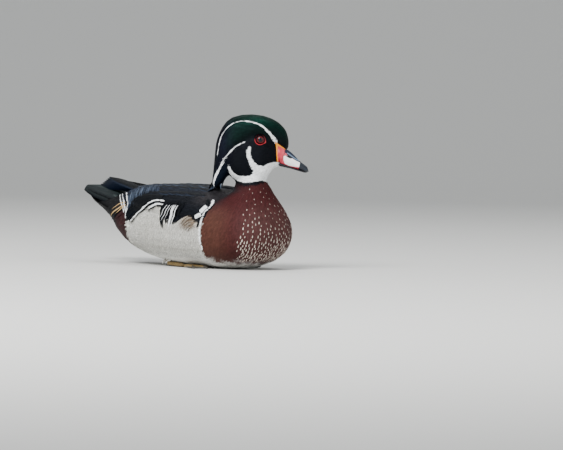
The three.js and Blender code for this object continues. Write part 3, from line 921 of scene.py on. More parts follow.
def build_skin():
    """The one skin that replaces the flesh."""
    sizes = bpy.context.scene.duck_sizes
    mesh = remeshed("skin", FLESH, 0.5, 1.5, 5)
    points = coordinates(mesh)
    normals = vertex_normals(mesh)
    on_head = ease(points[:, 2], 100, 116)
    over_body, over_head = sizes.body_depth / MM, sizes.head_depth / MM
    depth = over_body + (over_head - over_body) * on_head
    points = points - normals * depth[:, None]
    points[:, 2] = np.maximum(points[:, 2], 0.5)
    local = to_head(points)
    drawn_in = THROAT_DRAWN_IN * ease(local[:, 2], 101, 111) * (1 - ease(local[:, 2], 113, 125))
    local[:, 0] -= drawn_in * ease(local[:, 0], 6, 18)
    points = from_head(local)
    move_vertices(mesh, points)
    set_tint(mesh, plumage(points))
    skin = object_from("skin", mesh)
    STATE["surface"] = Surface(mesh)
    return finish_piece(skin, "skin", FLESH)


def bill_colour(points):
    """Yellow rim, red sides, white saddle, dark ridge with a painted highlight along it, nostril and nail."""
    u, v, z = to_head(points).T
    colour = np.tile(paint("bill"), (len(points), 1))
    colour = blend(colour, BILL_BLUSH, 0.5 * ease(u, 34, 40) * ease(z, 134, 142))
    colour[inside(u, z, SADDLE)] = BILL_SADDLE
    rear = u - np.interp(z, *SHIELD_REAR) < 1.5 + 1.3 * ease(z, 150, 160)
    rim = rear | (shield_top(u) - z < 2.4 - 1.3 * ease(u, 32, 44))
    colour[rim & (u < 43) & (np.abs(v) > 2)] = paint("rim")
    ridge_z = np.interp(u, [43, 44, 50, 54, 60], [148.5, 146.4, 142.6, 140, 137.2])
    colour[(z > ridge_z) & (u > 42.6 - 0.2 * np.abs(v))] = BILL_RIDGE
    # Painted highlight: a pale blue-grey streak along the side of the dark ridge.
    ridge_highlight = np.abs(z - ridge_z - 2.2 + 0.05 * (u - 50)) < 0.7
    colour[ridge_highlight & (u > 44) & (u < 60)] = BILL_RIDGE_HIGHLIGHT
    lower = (z < np.interp(u, [30, 39, 60], [136.5, 134.3, 130.3])) & (u > 38)
    colour[lower] = BILL_EDGE
    colour[u > 59.4 + 0.22 * (z - 132)] = BILL_NAIL
    colour[nostril_distance(u, z) < 1] = NOSTRIL
    return colour


SADDLE = [
    [39.7, 144.8], [44, 146], [50, 142.5], [54, 139.9], [60.6, 136.9], [59.2, 131.2], [50, 131.4],
    [41.4, 135.2], [39.4, 140],
]
SHIELD_REAR = np.array([[137.0, 150.0, 157.0, 163.0], [31.2, 30.2, 29.6, 28.2]])


def shield_top(u):
    """The height of the shield's upper edge, which falls from its rear corner to the forehead."""
    return np.interp(u, [28.2, 33, 38, 43.6, 44, 80], [163.4, 159.8, 156.6, 153.4, 200, 200])


def nostril_distance(u, z):
    """How far a point is from the nostril's middle, as a share of the nostril's size."""
    return ((u - 46.6) / 3.7) ** 2 + ((z - 143.9 + 0.4 * (u - 46.6)) / 1.25) ** 2


def droop(points, share):
    """Moves the bill's points to the photo's slightly deeper and longer bill."""
    local = to_head(points)
    u, _, z = local.T
    middle = np.interp(u, [30, 66], [146, 132])
    local[:, 2] -= share * (1.0 + 1.9 * (1 - ease(u, 42, 60))) * ease(middle - z, 0, 5)
    local[:, 2] -= 0.9 * ease(u, 48, 70)
    local[:, 0] += 1.6 * ease(u, 40, 68)
    return from_head(local)


def build_bill():
    """Both halves of the bill, the nostrils sunk into the upper one, and the shield that runs up the face."""
    upper = remeshed("bill_upper_horn", ["bill_upper"], 0.12, 0.42, 6)
    points = droop(coordinates(upper), 1)
    move_vertices(upper, points)
    u, v, z = to_head(points).T
    sunk = np.where(np.abs(v) > 2, 1.3 * (1 - ease(nostril_distance(u, z), 0.2, 1.6)), 0)
    move_vertices(upper, points - vertex_normals(upper) * sunk[:, None])
    set_tint(upper, bill_colour(points))
    finish_piece(object_from("bill_upper_horn", upper), "horn", ["bill_upper"])
    lower = remeshed("bill_lower_horn", ["bill_lower"], 0.1, 0.42, 5)
    move_vertices(lower, droop(coordinates(lower), 0))
    set_tint(lower, np.tile(BILL_BELOW, (len(lower.vertices), 1)))
    finish_piece(object_from("bill_lower_horn", lower), "horn", ["bill_lower"])
    build_shield(Surface(upper))


def build_shield(horn):
    """The thin plate of the bill's base that comes to a point on each side of the forehead."""
    rows, columns = 26, 12
    heights = np.linspace(137.2, 163.2, rows)
    rear = np.interp(heights, *SHIELD_REAR)
    front = np.interp(heights, [137, 153.4, 156.6, 159.8, 163.4], [36, 43.4, 38, 33, 28.5])
    share = np.linspace(0, 1, columns)
    u = rear[:, None] + (front - rear)[:, None] * share
    z = np.repeat(heights[:, None], columns, axis=1)
    bm = bmesh.new()
    for side in (1, -1):
        starts = from_head(np.stack([u, np.full(u.shape, CLEAR_OF_HEAD * side), z], axis=2).reshape(-1, 3))
        toward = Vector(-LEFTWARD * side)
        verts = []
        for start, at in zip(starts.tolist(), share[None].repeat(rows, 0).ravel()):
            hits = [tree.ray_cast(start, toward)[3] for tree in (STATE["surface"].tree, horn.tree)]
            depth = min(hit for hit in hits if hit is not None)
            edge = min(at, 1 - at) * columns
            place = Vector(start) + toward * (depth - 0.75 + 0.8 * max(0, 1 - edge))
            verts.append(bm.verts.new(place * MM))
        for r in range(rows - 1):
            for c in range(columns - 1):
                corner = r * columns + c
                quad = [verts[k] for k in (corner, corner + 1, corner + columns + 1, corner + columns)]
                bm.faces.new(quad if side < 0 else quad[::-1])
    bmesh.ops.smooth_vert(bm, verts=bm.verts, factor=0.5, use_axis_x=True, use_axis_y=True, use_axis_z=True)
    mesh = mesh_from("bill_shield", bm)
    set_tint(mesh, bill_colour(coordinates(mesh)))
    shield = object_from("bill_shield", mesh)
    thicken(shield, 0.5)
    finish_piece(shield, "horn")


def build_eyes():
    """Each eye: a ball with a dark red iris and a black pupil, and the naked red ring about it."""
    for name, side in SIDES:
        low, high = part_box("eye_" + name)
        centre = (low + high) / 2
        axis = Vector(LEFTWARD * side + FORWARD * 0.1).normalized()
        place = Matrix.Translation(centre) @ axis.to_track_quat("Z", "Y").to_matrix().to_4x4()
        bm = bmesh.new()
        bmesh.ops.create_uvsphere(bm, u_segments=64, v_segments=72, radius=EYE_RADIUS * MM)
        mesh = mesh_from("eyeball_" + name, bm)
        local = coordinates(mesh)
        reach = np.hypot(local[:, 0], local[:, 1])
        angle = np.arctan2(local[:, 1], local[:, 0])
        rays = 0.8 + 0.2 * np.sin(angle * 23) * np.sin(angle * 7 + 1)
        colour = np.tile(PUPIL, (len(local), 1))
        iris = ease(reach, 2.8, 3.1) * (1 - ease(reach, 4.1, 4.8))
        red = paint("iris") * np.stack([rays, rays, rays, np.ones(len(local))], axis=1)
        colour += (red - colour) * iris[:, None]
        set_tint(mesh, colour)
        mesh.transform(place)
        finish_piece(object_from("eyeball_" + name, mesh), "eye", ["eye_" + name])
        build_lid(name, side, np.array(centre) / MM)


# The eye ring from its inner edge outwards: radius, height over the ground it lies on, and how red it is.
LID_PROFILE = [(4.7, -0.5, 0.0), (4.75, 0.1, 0.0), (5.1, 0.14, 0.03), (5.6, 0.25, 0.06), (5.92, 0.6, 0.45),
               (6.15, 1.05, 1.0), (6.4, 1.3, 1.0), (6.65, 1.1, 0.8), (6.9, 0.5, 0.3), (7.1, -0.6, 0.1)]


def build_lid(name, side, centre):
    """The ring round one eye: lids against the ball and a raised red rim, with a point at its lower front."""
    steps = 72
    angles = np.linspace(0, 2 * math.pi, steps, endpoint=False)
    heart = to_head(centre[None])[0]
    surface = STATE["surface"]
    bm = bmesh.new()
    rings, colours = [], []
    for radius, height, red in LID_PROFILE:
        turned = (angles + 0.4 + math.pi) % (2 * math.pi) - math.pi
        grow = 1 + 0.2 * np.exp(-((turned / 0.3) ** 2)) * ease(np.full(steps, radius), 5.2, 6.2)
        u = heart[0] + np.cos(angles) * radius * grow
        z = heart[2] + np.sin(angles) * radius * grow * 0.96
        starts = from_head(np.stack([u, np.full(steps, CLEAR_OF_HEAD * side), z], axis=1))
        toward = Vector(-LEFTWARD * side)
        ground = [CLEAR_OF_HEAD - surface.tree.ray_cast(start, toward)[3] for start in starts.tolist()]
        ball = abs(heart[1]) + math.sqrt(max(EYE_RADIUS**2 - radius**2, 0))
        share = float(ease(np.array(radius), 5.0, 6.1))
        v = side * ((1 - share) * ball + share * np.array(ground) + height)
        rings.append([bm.verts.new(point * MM) for point in from_head(np.stack([u, v, z], axis=1))])
        colours += [(0.02 + 0.48 * red, 0.003 + 0.010 * red, 0.005 + 0.018 * red, 1.0)] * steps
    for inner, outer in zip(rings, rings[1:]):
        for i in range(steps):
            j = (i + 1) % steps
            quad = [inner[i], inner[j], outer[j], outer[i]]
            bm.faces.new(quad if side > 0 else quad[::-1])
    mesh = mesh_from("lid_" + name, bm)
    set_tint(mesh, colours)
    lid = object_from("lid_" + name, mesh)
    thicken(lid, 0.3)
    finish_piece(lid, "lid")


# The toes' root, length and spread are those of the solid feet below the scaly ones.
TOE_ROOT = (-14.0, 40.0)
TOE_LENGTH = 44.0
TOE_SPREAD = 0.36


def build_claws(name, side):
    """A curved claw on each toe of one foot, tapered to a blunt point."""
    bm = bmesh.new()
    rings, segments = 9, 12
    for k in (-1, 0, 1):
        angle = k * TOE_SPREAD + side * 0.1
        length = TOE_LENGTH * (1 if k == 0 else 0.88)
        out = Vector((math.cos(angle), math.sin(angle), 0))
        aside = Vector((-out.y, out.x, 0))
        tip = Vector((TOE_ROOT[0], side * TOE_ROOT[1], 0)) + out * length
        previous = None
        for i in range(rings):
            t = i / (rings - 1)
            radius = 1.55 * (1 - t) ** 0.6 + 0.12
            centre = tip + out * (-3.4 + 8.6 * t) + Vector((0, 0, 2.6 - 1.9 * t * t))
            loop = []
            for j in range(segments):
                turn = 2 * math.pi * j / segments
                upward = Vector((0, 0, math.sin(turn) * radius * 1.1))
                point = centre + aside * math.cos(turn) * radius * 0.8 + upward
                point.z = max(point.z, 0.1)
                loop.append(bm.verts.new(point * MM))
            if previous:
                for j in range(segments):
                    n = (j + 1) % segments
                    bm.faces.new((previous[j], previous[n], loop[n], loop[j]))
            else:
                bm.faces.new(loop[::-1])
            previous = loop
        bm.faces.new(previous)
    bmesh.ops.recalc_face_normals(bm, faces=bm.faces)
    finish_piece(object_from("claws_" + name, mesh_from("claws_" + name, bm)), "claw")


def build_feet():
    """Scaly feet and shanks, and a claw on each toe."""
    for name, side in SIDES:
        for node, voxel in (("foot_" + name, 0.5), ("leg_" + name, 0.6)):
            mesh = remeshed(node + "_skin", [node], 0.15, voxel, 4)
            points = coordinates(mesh)
            points[:, 2] = np.maximum(points[:, 2], 0.02)
            move_vertices(mesh, points)
            web = (1 - ease(points[:, 2], 1.9, 3.0)) * ease(points[:, 0], -6, 6)
            colour = np.tile(paint("foot"), (len(points), 1))
            set_tint(mesh, blend(colour, WEB, web))
            finish_piece(object_from(node + "_skin", mesh), "scales", [node])
        build_claws(name, side)


def marking_distance(points):
    """How far each point of the head is from the nearest edge of a marking, the eye or the bill."""
    u, _, z = to_head(points).T
    away = np.minimum(line_distance(u, z, BROW)[0], line_distance(u, z, CREST_LINE)[0])
    away = np.minimum(away, line_distance(u, z, THROAT + THROAT[:1])[0])
    away = np.minimum(away, np.abs(np.hypot(u - EYE_U, z - EYE_Z) - 6.8))
    bill = np.where((z > 134) & (z < 164), np.maximum(30 - u, 0), 99)
    return np.minimum(away, bill)


def head_parts():
    """The coat of the face, crown, crest and throat."""

    def side_of(points):
        return to_head(points)[:, 1]

    def strap_end(u, z):
        return (line_distance(u, z, STRAP)[0] < 4) & (u < -20) & (z > 112) & (z < 138)

    def on_face(points):
        u, v, z = to_head(points).T
        clear = np.minimum(np.hypot(u - EYE_U, z - EYE_Z), np.hypot(u - 11.3, z - 165.9)) > 7.3
        bill = (u > np.interp(z, *SHIELD_REAR) + 0.4) & (z < shield_top(u) - 0.6) & (z > 136)
        front = (u > CREST_FROM) | strap_end(u, z)
        return (z > collar(u) - 2.5) & front & (clear | (np.abs(v) < 10)) & ~bill

    def on_crest(points):
        u, _, z = to_head(points).T
        return (u <= CREST_FROM) & (z > 108) & ~strap_end(u, z)

    def spacing(points):
        return 0.95 + 0.6 * ease(marking_distance(points), 1.2, 6)

    def size(points):
        return 2.4 + 3.2 * ease(marking_distance(points), 1.5, 8)

    def width(points):
        return 0.95 + 0.75 * ease(marking_distance(points), 1.5, 8)

    for name, side in SIDES:
        coat("coat_face_" + name, lambda p, side=side: on_face(p) & (side_of(p) * side >= 0), spacing, size,
             width, HAIR, "silk", lift=0.25, seed=11 + side, on_head=True, splay=0.05, crisp=1.0,
             rows=4, tone=0.16)
    coat("coat_crest", on_crest, const(1.25), const(8.5), const(1.15), HAIR, "silk", lift=0.45,
         seed=15, on_head=True, splay=0.03, crisp=1.0, tone=0.2)
    wisps = []
    rng = np.random.default_rng(5)
    for k in range(26):
        share = rng.random()
        u, z = -26 - 20 * share + rng.normal(0, 1.5), 128 - 16 * share + rng.normal(0, 2)
        v = rng.normal(0, 3.2 - 2 * share)
        fall = 9 + 6 * rng.random()
        local = [[u, v, z], [u - 3, v * 1.1, z - fall * 0.6], [u - 3.5, v * 1.2, z - fall]]
        pale = k % 3 == 0
        wisps.append(feather(from_head(local), 0.5 if pale else 1.1, plain(PALE_BLUE if pale else BLUE_BLACK),
                             (0, 0), mirrors=(1,), up=LEFTWARD * (1 if v > 0 else -1)))
    laid_feathers("crest_wisps", wisps, PLUME, "silk", on_head=True, rows=7)


def body_parts():
    """The coat of the neck, breast, flanks, belly, back, wings and rump."""

    def below_collar(points):
        u, _, z = to_head(points).T
        return (z <= collar(u) - 0.6) & ~((u < CREST_FROM) & (z > 104))

    def edge_of(points):
        return on_line(BREAST_EDGE, points[:, 2])

    def on_breast(points):
        return below_collar(points) & (points[:, 0] > edge_of(points) - 1)

    def on_flank(points):
        x, _, z = points.T
        on_side = (z < on_line(FLANK_TOP, x)) & (z > BELLY_TOP)
        return below_collar(points) & (x <= edge_of(points) - 1) & on_side & (x > -98)

    def on_belly(points):
        x, _, z = points.T
        return (x <= edge_of(points) - 1) & (z <= BELLY_TOP) & (x > -135)

    def on_back(points):
        behind = points[:, 0] <= edge_of(points) - 1
        return below_collar(points) & behind & ~on_flank(points) & ~on_belly(points)

    def high(points):
        return ease(points[:, 2], 60, 106)

    coat("coat_breast", on_breast, lambda p: 2.3 - 0.9 * high(p), lambda p: 8 - 3.6 * high(p),
         lambda p: 3.2 - 1.5 * high(p), CONTOUR, "coat", lift=0.5, seed=21, tone=0.16)
    coat("coat_flank", on_flank, const(1.75), const(9), const(2.3), HAIR, "flank", lift=0.6, seed=23,
         tone=0.05, crisp=0.6)
    coat("coat_belly", on_belly, const(3.2), const(9), const(4.2), CONTOUR, "coat", lift=0.4, seed=25,
         tone=0.05)
    coat("coat_back", on_back, const(2.5), const(10), const(4.2), CONTOUR, "coat", lift=0.7, seed=27,
         tone=0.3)
    build_flecks()


def build_flecks():
    """The small pale arrowheads of the breast, in rows that grow denser downwards."""
    surface = STATE["surface"]

    def keep(points):
        x, y, z = points.T
        front = x - 0.95 * np.abs(y)
        rough = 6 * waver(points, 9) + 5 * waver(points[:, ::-1] + 40, 5)
        return (z > 13) & (z < 104) & (front > 50 + 6 * ease(z, 30, 70) + rough)

    def spacing(points):
        return 3.0 + 3.4 * ease(points[:, 2], 18, 100)

    roots = surface.spread(keep, spacing, 31)
    rng = np.random.default_rng(32)
    _, normals = surface.snap(roots)
    way = tangent(body_lie(roots) + rng.normal(0, 0.1, roots.shape), normals)
    sizes = (1.7 + 2.2 * (1 - ease(roots[:, 2], 20, 100))) * rng.uniform(0.7, 1.25, len(roots))
    rows = 3
    lines = np.empty((len(roots), rows, 3))
    for row in range(rows):
        place, _ = surface.snap(roots + way * (sizes * row / (rows - 1))[:, None])
        lines[:, row] = place + normals * (0.75 + 0.3 * row / (rows - 1))
    ups = np.repeat(normals[:, None], rows, axis=1)
    ways = np.gradient(lines, axis=1)
    ways /= np.linalg.norm(ways, axis=2, keepdims=True)
    colours = np.tile(paint("fleck"), (len(roots), rows, 1))
    colours[..., :3] *= rng.uniform(0.6, 1.15, (len(roots), 1, 1))
    sides = np.cross(ups, ways)
    obj = build_vanes("breast_flecks", lines, sides, ups, sizes * 0.42, ARROWHEAD, colours, roots, False)
    finish_piece(obj, "coat")


def between(a, b, share):
    """A point part of the way from a to b."""
    return list(np.asarray(a, float) + (np.asarray(b, float) - np.asarray(a, float)) * share)


def feather(guide, width, colours, height=(1.2, 1.5), **more):
    """One laid feather."""
    return {"guide": guide, "width": width, "colours": colours, "height": height, **more}


def bluish(share):
    """The wing panel's blue, moved by a share towards its palest."""
    return blend(paint("steel")[None], PALE_BLUE, [share])[0]


def wing_parts():
    """The folded wing: long scapulars, the barred panel of the secondaries and the black coverts below it."""
    rng = np.random.default_rng(41)
    ink, white = paint("ink"), paint("white")
    scapulars = []
    for row in range(5):
        for k in range(9):
            x = 26 - 17 * k + 8 * (row % 2) + rng.normal(0, 2)
            y = -(5 + 9.5 * row) * (1 - 0.18 * float(ease(np.array(-x), 40, 130)))
            low = (112, 112, 112, 106, 92)[row]
            guide = [[x, y, low], [x - 17, y * 1.02, low], [x - 34, y, low - 1]]
            # The scapulars' blue edges are partly their own colour and partly painted sheen: the top three
            # rows are made paler, up to half way to the palest blue.
            edge = bluish(rng.uniform(0.05, 0.5) if row < 3 else 0.05)
            scapulars.append(feather(guide, 9.5, plain(paint("back"), edge=edge, edge_share=0.9), (0.7, 1.7)))
    laid_feathers("scapulars", scapulars, BROAD, "quill", rows=9)

    panel = []
    for k in range(10):
        share = k / 9
        low = between([-112, -50, 66], [-62, -47, 95], share)
        high = between([-140, -31, 89], [-78, -22, 103], share)
        middle = between(low, high, 0.5)
        middle[1] -= 3
        middle[2] += 2
        panel.append(feather([low, middle, high], 8, plain(paint("steel"), edge=PANEL_EDGE), (1.0, 1.6)))
    laid_feathers("secondaries", panel, BLUNT, "quill")

    lines = []
    for k in range(40):
        share = (k + rng.random()) / 40
        start, stop = rng.uniform(0, 0.4), rng.uniform(0.6, 1.0)
        low = between([-111, -49, 70], [-64, -46, 96], share)
        high = between([-124, -34, 92], [-82, -18, 103], share)
        pale = bluish(rng.uniform(0.15, 1.15) * (1 - 0.65 * share))
        guide = [between(low, high, at) for at in (start, (start + stop) / 2, stop)]
        lines.append(feather(guide, rng.uniform(0.35, 0.85), plain(pale), (1.9, 2.1)))
    for guide, width, heights in (
        ([[-149, -27, 88], [-144, -30, 86], [-131, -40, 78], [-120, -46, 70]], 3.2, (1.7, 1.9)),
        ([[-136, -32, 90], [-131, -37, 87], [-122, -43, 80], [-114, -48, 72]], 3.4, (1.8, 2.0)),
    ):
        lines.append(feather(guide, width, plain(ink), heights))
    laid_feathers("wing_streaks", lines, PLUME, "quill")
    build_trim("wing_bars", [
        ([[-154, -22, 87], [-150, -26, 85], [-134, -39, 78], [-125, -44, 73], [-119, -47, 67]],
         2.0, white, 2.0, 4),
        ([[-143, -29, 89], [-138, -33, 86], [-128, -40, 79], [-117, -47, 70], [-111, -51, 60]],
         2.9, white, 2.1, 4.5),
        ([[-130, -34, 91], [-124, -39, 88], [-118, -44, 82], [-115, -47, 75], [-112, -50, 67]],
         2.6, white, 2.2, 4.5),
    ], 43)

    coverts = []
    for k in range(5):
        inset = 4.2 * k
        guide = [[-44, -52, 91 - inset * 0.4], [-74, -51, 92 - inset], [-96, -49, 86 - inset],
                 [-109, -51, 73 - inset], [-112, -53, 62 - inset * 0.3]]
        coverts.append(feather(guide, 8.5, plain(ink, edge=BLUE_BLACK), (1.2, 2.6 - 0.25 * k)))
    laid_feathers("coverts", coverts, PLUME, "quill", rows=17)


def flank_fringe():
    """The black and white bands along the flank's upper edge, and the plumes that hang over them."""
    ink, white = paint("ink"), paint("white")
    build_trim("flank_fringe", [
        ([[-40, -57, 87], [-60, -56, 85], [-78, -55, 77], [-90, -56, 69], [-100, -55, 59]], 5.5, ink, 1.3, 8),
        ([[-36, -58, 84.6], [-50, -56, 84.6], [-60, -56, 82], [-68, -57, 77.6], [-80, -55, 71],
          [-88, -56, 65], [-97, -55, 57]], 2.2, white, 2.0, 5),
        ([[-35, -59, 81.6], [-50, -58, 82], [-60, -57, 79.6], [-70, -57, 74.2], [-81, -56, 68],
          [-91, -57, 60], [-98, -56, 53]], 1.7, ink, 1.9, 6),
        ([[-33, -60, 80.4], [-42, -59, 80.6], [-50, -58, 79.4], [-60, -58, 75]], 3.4, white, 1.7, 5),
        ([[-32, -61, 77.2], [-44, -60, 77.9], [-54, -60, 75.6], [-64, -59, 70]], 1.6, ink, 1.9, 6),
    ], 45)

    # Each plume hangs from z 86 or 80 to its end: the x of four points, its end, its width.
    black_plumes = (
        ([-30, -35, -37, -34], 55), ([-26, -32, -35, -31], 50), ([-21, -28, -32, -28], 49),
        ([-17, -22, -26, -24], 54), ([-9, -13, -17, -16], 56), ([-3, -6, -9, -9], 60), ([3, 1, -2, -4], 64),
    )
    white_plumes = (
        ([-25, -30, -34, -37], 62, 0.8), ([-20, -25, -30, -33], 58, 0.9), ([-15, -20, -24, -28], 60, 0.6),
        ([-13, -16, -17.5, -17], 48, 2.2), ([-10, -14, -16, -15.5], 50, 1.8), ([-5, -9, -12, -12], 48, 1.4),
        ([-8, -12, -14, -14], 56, 0.6),
    )
    plumes = []
    for xs, end in black_plumes:
        guide = [[x, -62, z] for x, z in zip(xs, np.linspace(86, end, 4))]
        plumes.append(feather(guide, 5.2, plain(ink), (2.2, 1.8)))
    for xs, end, width in white_plumes:
        guide = [[x, -62, z] for x, z in zip(xs, np.linspace(80, end, 4))]
        plumes.append(feather(guide, width, plain(white), (2.7, 2.4)))
    laid_feathers("flank_plumes", plumes, PLUME, "quill")


def flank_marks():
    """The ribs of the brown patch, and the white squares and bars before the breast."""
    ink, white = paint("ink"), paint("white")
    arcs = []
    for radius in (6, 10, 14, 18, 22):
        turns = np.radians(np.linspace(105, 172 - radius, 5))
        across, up = radius * np.cos(turns), radius * np.sin(turns)
        guide = np.stack([24 + across, np.full(5, -63.0), 46 + up], axis=1)
        arcs.append((guide, 0.45, DOME_LINE, 1.0, 3))
    build_trim("flank_dome", arcs, 49)
    build_trim("flank_marks", [
        ([[38, -50, 88], [40, -55, 82], [35, -60, 74], [31, -61, 69]], 9, ink, 0.9, 6),
        ([[37, -60, 73], [24, -61, 65]], 7.5, ink, 1.0, 6),
        ([[44, -47, 88], [46, -50, 84], [46, -54, 80], [43, -57, 75], [40, -60, 70], [38, -62, 62],
          [38, -64, 52], [39, -65, 38], [41, -64, 24]], 1.9, white, -1.5, 2.8),
        ([[35, -61, 66], [34, -63, 60], [33.5, -64, 54]], 1.5, ink, -1.0, 3.2),
    ], 47)
    squares = (
        ([[40.5, -55.5, 80.5], [38, -58, 77], [35, -60.5, 72.5]], 6.0),
        ([[36.5, -60.5, 69.5], [32, -61, 68], [27, -61.5, 65.5]], 4.8),
    )
    squares = [feather(guide, width, plain(white), (1.9, 2.1)) for guide, width in squares]
    laid_feathers("flank_squares", squares, SQUARE, "quill", rows=7)


def rump_plumes():
    """The straw and dark plumes beside the root of the tail."""
    rump = (
        ([[-124, -43, 80], [-135, -39, 78], [-144, -38, 74], [-154, -36, 69]], 1.6, STRAW, (2.2, 2.6)),
        ([[-120, -46, 77], [-129, -43, 74], [-139, -41, 69], [-150, -38, 64], [-158, -37, 57]], 2.2, STRAW,
         (2.3, 3.4)),
        ([[-119, -47, 74], [-125, -45, 73], [-131, -44, 69], [-139, -43, 64]], 1.7, STRAW, (2.2, 2.8)),
        ([[-118, -46, 79], [-130, -42, 76], [-142, -39, 71], [-157, -37, 63]], 6, VENT, (1.4, 2.4)),
        ([[-116, -47, 75], [-128, -44, 71], [-140, -42, 65], [-156, -40, 54]], 6, paint("ink"), (1.5, 3.0)),
        ([[-114, -49, 71], [-122, -47, 68], [-132, -45, 63], [-143, -43, 56]], 5, RUMP, (1.4, 2.2)),
    )
    rump = [feather(guide, width, plain(colour), heights) for guide, width, colour, heights in rump]
    laid_feathers("rump_plumes", rump, PLUME, "quill")


def flank_parts():
    """The flank's fringe and plumes, the marks before the breast, and the plumes of the rump."""
    flank_fringe()
    flank_marks()
    rump_plumes()


def tail_parts():
    """The tail fan, the coverts under it and the tips of the folded primaries, each quill on its own."""
    ink = paint("ink")
    fan = []
    count = 12
    for i in range(count):
        f = 2 * (i + 0.5) / count - 1
        outer = abs(f) > 0.7
        rolled = abs(f) > 0.85
        root = [-132, f * 18, 84.5 - 16 * f * f + 2 * (1 - abs(f))]
        tip = [-221.5 + 2.5 * f * f, f * 27, 95.5 if rolled else 99.3 - f * f]
        middle = between(root, tip, 0.55)
        middle[2] += 1.5
        edge = TAIL_EDGE if 0.5 < abs(f) < 0.7 else ink
        colours = plain(OUTER_TAIL if outer else paint("tail_grey"), edge=edge, edge_share=0.9)
        up = (0.2, f * (1.7 if rolled else 0.6), 1)
        fan.append(feather([root, middle, tip], 17, colours, (0, 0), up=up, mirrors=(1,)))
    laid_feathers("tail_fan", fan, ROUND, "quill", nodes=["tail"])

    under = []
    for row in range(3):
        for i in range(9):
            f = (i - 4) / 4
            bow = f * f
            path = [[-146, f * 27, 50 + 11 * bow], [-178, f * 25, 59.5 + 10.5 * bow],
                    [-195, f * 23.5, 66.5 + 8.8 * bow], [-207, f * 23, 76 + 6.5 * bow],
                    [-219 + 2 * bow, f * 24, 97.5 - 2 * bow]]
            line = curve_through(path, 30)[: 30 - 7 * row] - np.array([0, 0, 0.5 * row])
            colours = plain(VENT, edge=paint("tail_grey"))
            under.append(feather(line, 12, colours, (0, 0), up=(-0.45, 0.5 * f, -1), mirrors=(1,)))
    laid_feathers("undertail", under, ROUND, "quill")

    for name, side in SIDES:
        tips = []
        lower = 3.0 * (side > 0)
        for i in range(7):
            share = i / 6
            root = [-104 - 10 * share, side * (30 - 12 * share), 95 - 0.5 * share - lower]
            tip = [-193 - 22 * share, side * (6 - 3 * share), 110 - 11.5 * share - lower]
            middle = between(root, tip, 0.5)
            middle[2] += 1.2
            colours = plain(ink, edge=PRIMARY_EDGE, edge_share=0.9)
            up = (0, 0.5 * side, 1)
            tips.append(feather([root, middle, tip], 13, colours, (0, 0), up=up, mirrors=(1,)))
        laid_feathers("primaries_" + name, tips, BROAD, "quill", nodes=["wing_tip_" + name])


# The stage


def build_floor(colour):
    """A pale floor that curves up into a backdrop behind the bird."""
    facing = Vector((-math.sin(PHOTO_YAW), math.cos(PHOTO_YAW), 0))
    aside = Vector((facing.y, -facing.x, 0))
    profile = [(-9.0, 0.0), (FLOOR_EDGE, 0.0)]
    for step in range(1, 17):
        turn = math.pi / 2 * step / 16
        profile.append((FLOOR_EDGE + FLOOR_BEND * math.sin(turn), FLOOR_BEND - FLOOR_BEND * math.cos(turn)))
    profile.append((FLOOR_EDGE + FLOOR_BEND, BACKDROP_TOP))
    bm = bmesh.new()
    ends = (-FLOOR_HALF, FLOOR_HALF)
    rows = [[bm.verts.new(facing * out + aside * width + Vector((0, 0, up))) for width in ends]
            for out, up in profile]
    for near, far in zip(rows, rows[1:]):
        bm.faces.new((near[0], near[1], far[1], far[0]))
    bmesh.ops.recalc_face_normals(bm, faces=bm.faces)
    floor = object_from("floor", mesh_from("floor", bm))
    finish = Finish("floor", Base_Color=colour, Roughness=0.8, Specular_IOR_Level=0.1)
    floor.data.materials.append(finish.material)


def build_camera(lens, distance):
    """The camera at the photo's angle."""
    level = math.cos(PHOTO_RISE)
    toward = Vector((math.sin(PHOTO_YAW) * level, -math.cos(PHOTO_YAW) * level, math.sin(PHOTO_RISE)))
    right = Vector((math.cos(PHOTO_YAW), math.sin(PHOTO_YAW), 0))
    centre = right * AIM_RIGHT + toward.cross(right) * AIM_UP + Vector((0, 0, AIM_HEIGHT))
    camera = bpy.data.objects.new("camera", bpy.data.cameras.new("camera"))
    bpy.context.scene.collection.objects.link(camera)
    camera.data.lens = lens
    camera.data.sensor_width = 36
    camera.data.clip_end = 200
    camera.location = centre + toward * distance
    camera.rotation_mode = "QUATERNION"
    turned = Matrix.Rotation(PHOTO_LEAN, 3, "Z").to_quaternion()
    camera.rotation_quaternion = (-toward).to_track_quat("-Z", "Y") @ turned
    bpy.context.scene.camera = camera


def build_lights(key_power):
    """Three soft lights, each with its place and size in metres and its power in watts, and an even sky."""
    lights = (
        ("key", (0.6, -1.9, 1.9), 1.4, key_power),
        ("fill", (2.2, 0.2, 1.0), 1.8, 16),
        ("top", (-0.6, 0.6, 2.4), 1.6, 26),
    )
    for name, place, size, power in lights:
        light = bpy.data.lights.new(name, "AREA")
        light.energy = power
        light.shape = "DISK"
        light.size = size
        lamp = bpy.data.objects.new(name, light)
        lamp.location = place
        lamp.rotation_mode = "QUATERNION"
        lamp.rotation_quaternion = (Vector((0, 0, 0.1)) - Vector(place)).to_track_quat("-Z", "Y")
        bpy.context.scene.collection.objects.link(lamp)
    world = bpy.data.worlds.new("studio")
    world.use_nodes = True
    sky = world.node_tree.nodes["Background"]
    sky.inputs["Color"].default_value = (0.80, 0.83, 0.87, 1)
    sky.inputs["Strength"].default_value = 0.7
    bpy.context.scene.world = world


def build_stage():
    """The floor, the camera and the lights."""
    sizes = bpy.context.scene.duck_sizes
    build_floor(sizes.floor)
    build_camera(sizes.lens, sizes.distance)
    build_lights(sizes.key_power)


# Settings, operators and panel


def colour_setting(name, description, default):
    """A colour that the user can change. Its fourth number is the gloss of the feather."""
    return bpy.props.FloatVectorProperty(name=name, description=description, default=default, size=4,
                                         subtype="COLOR", min=0, max=1)


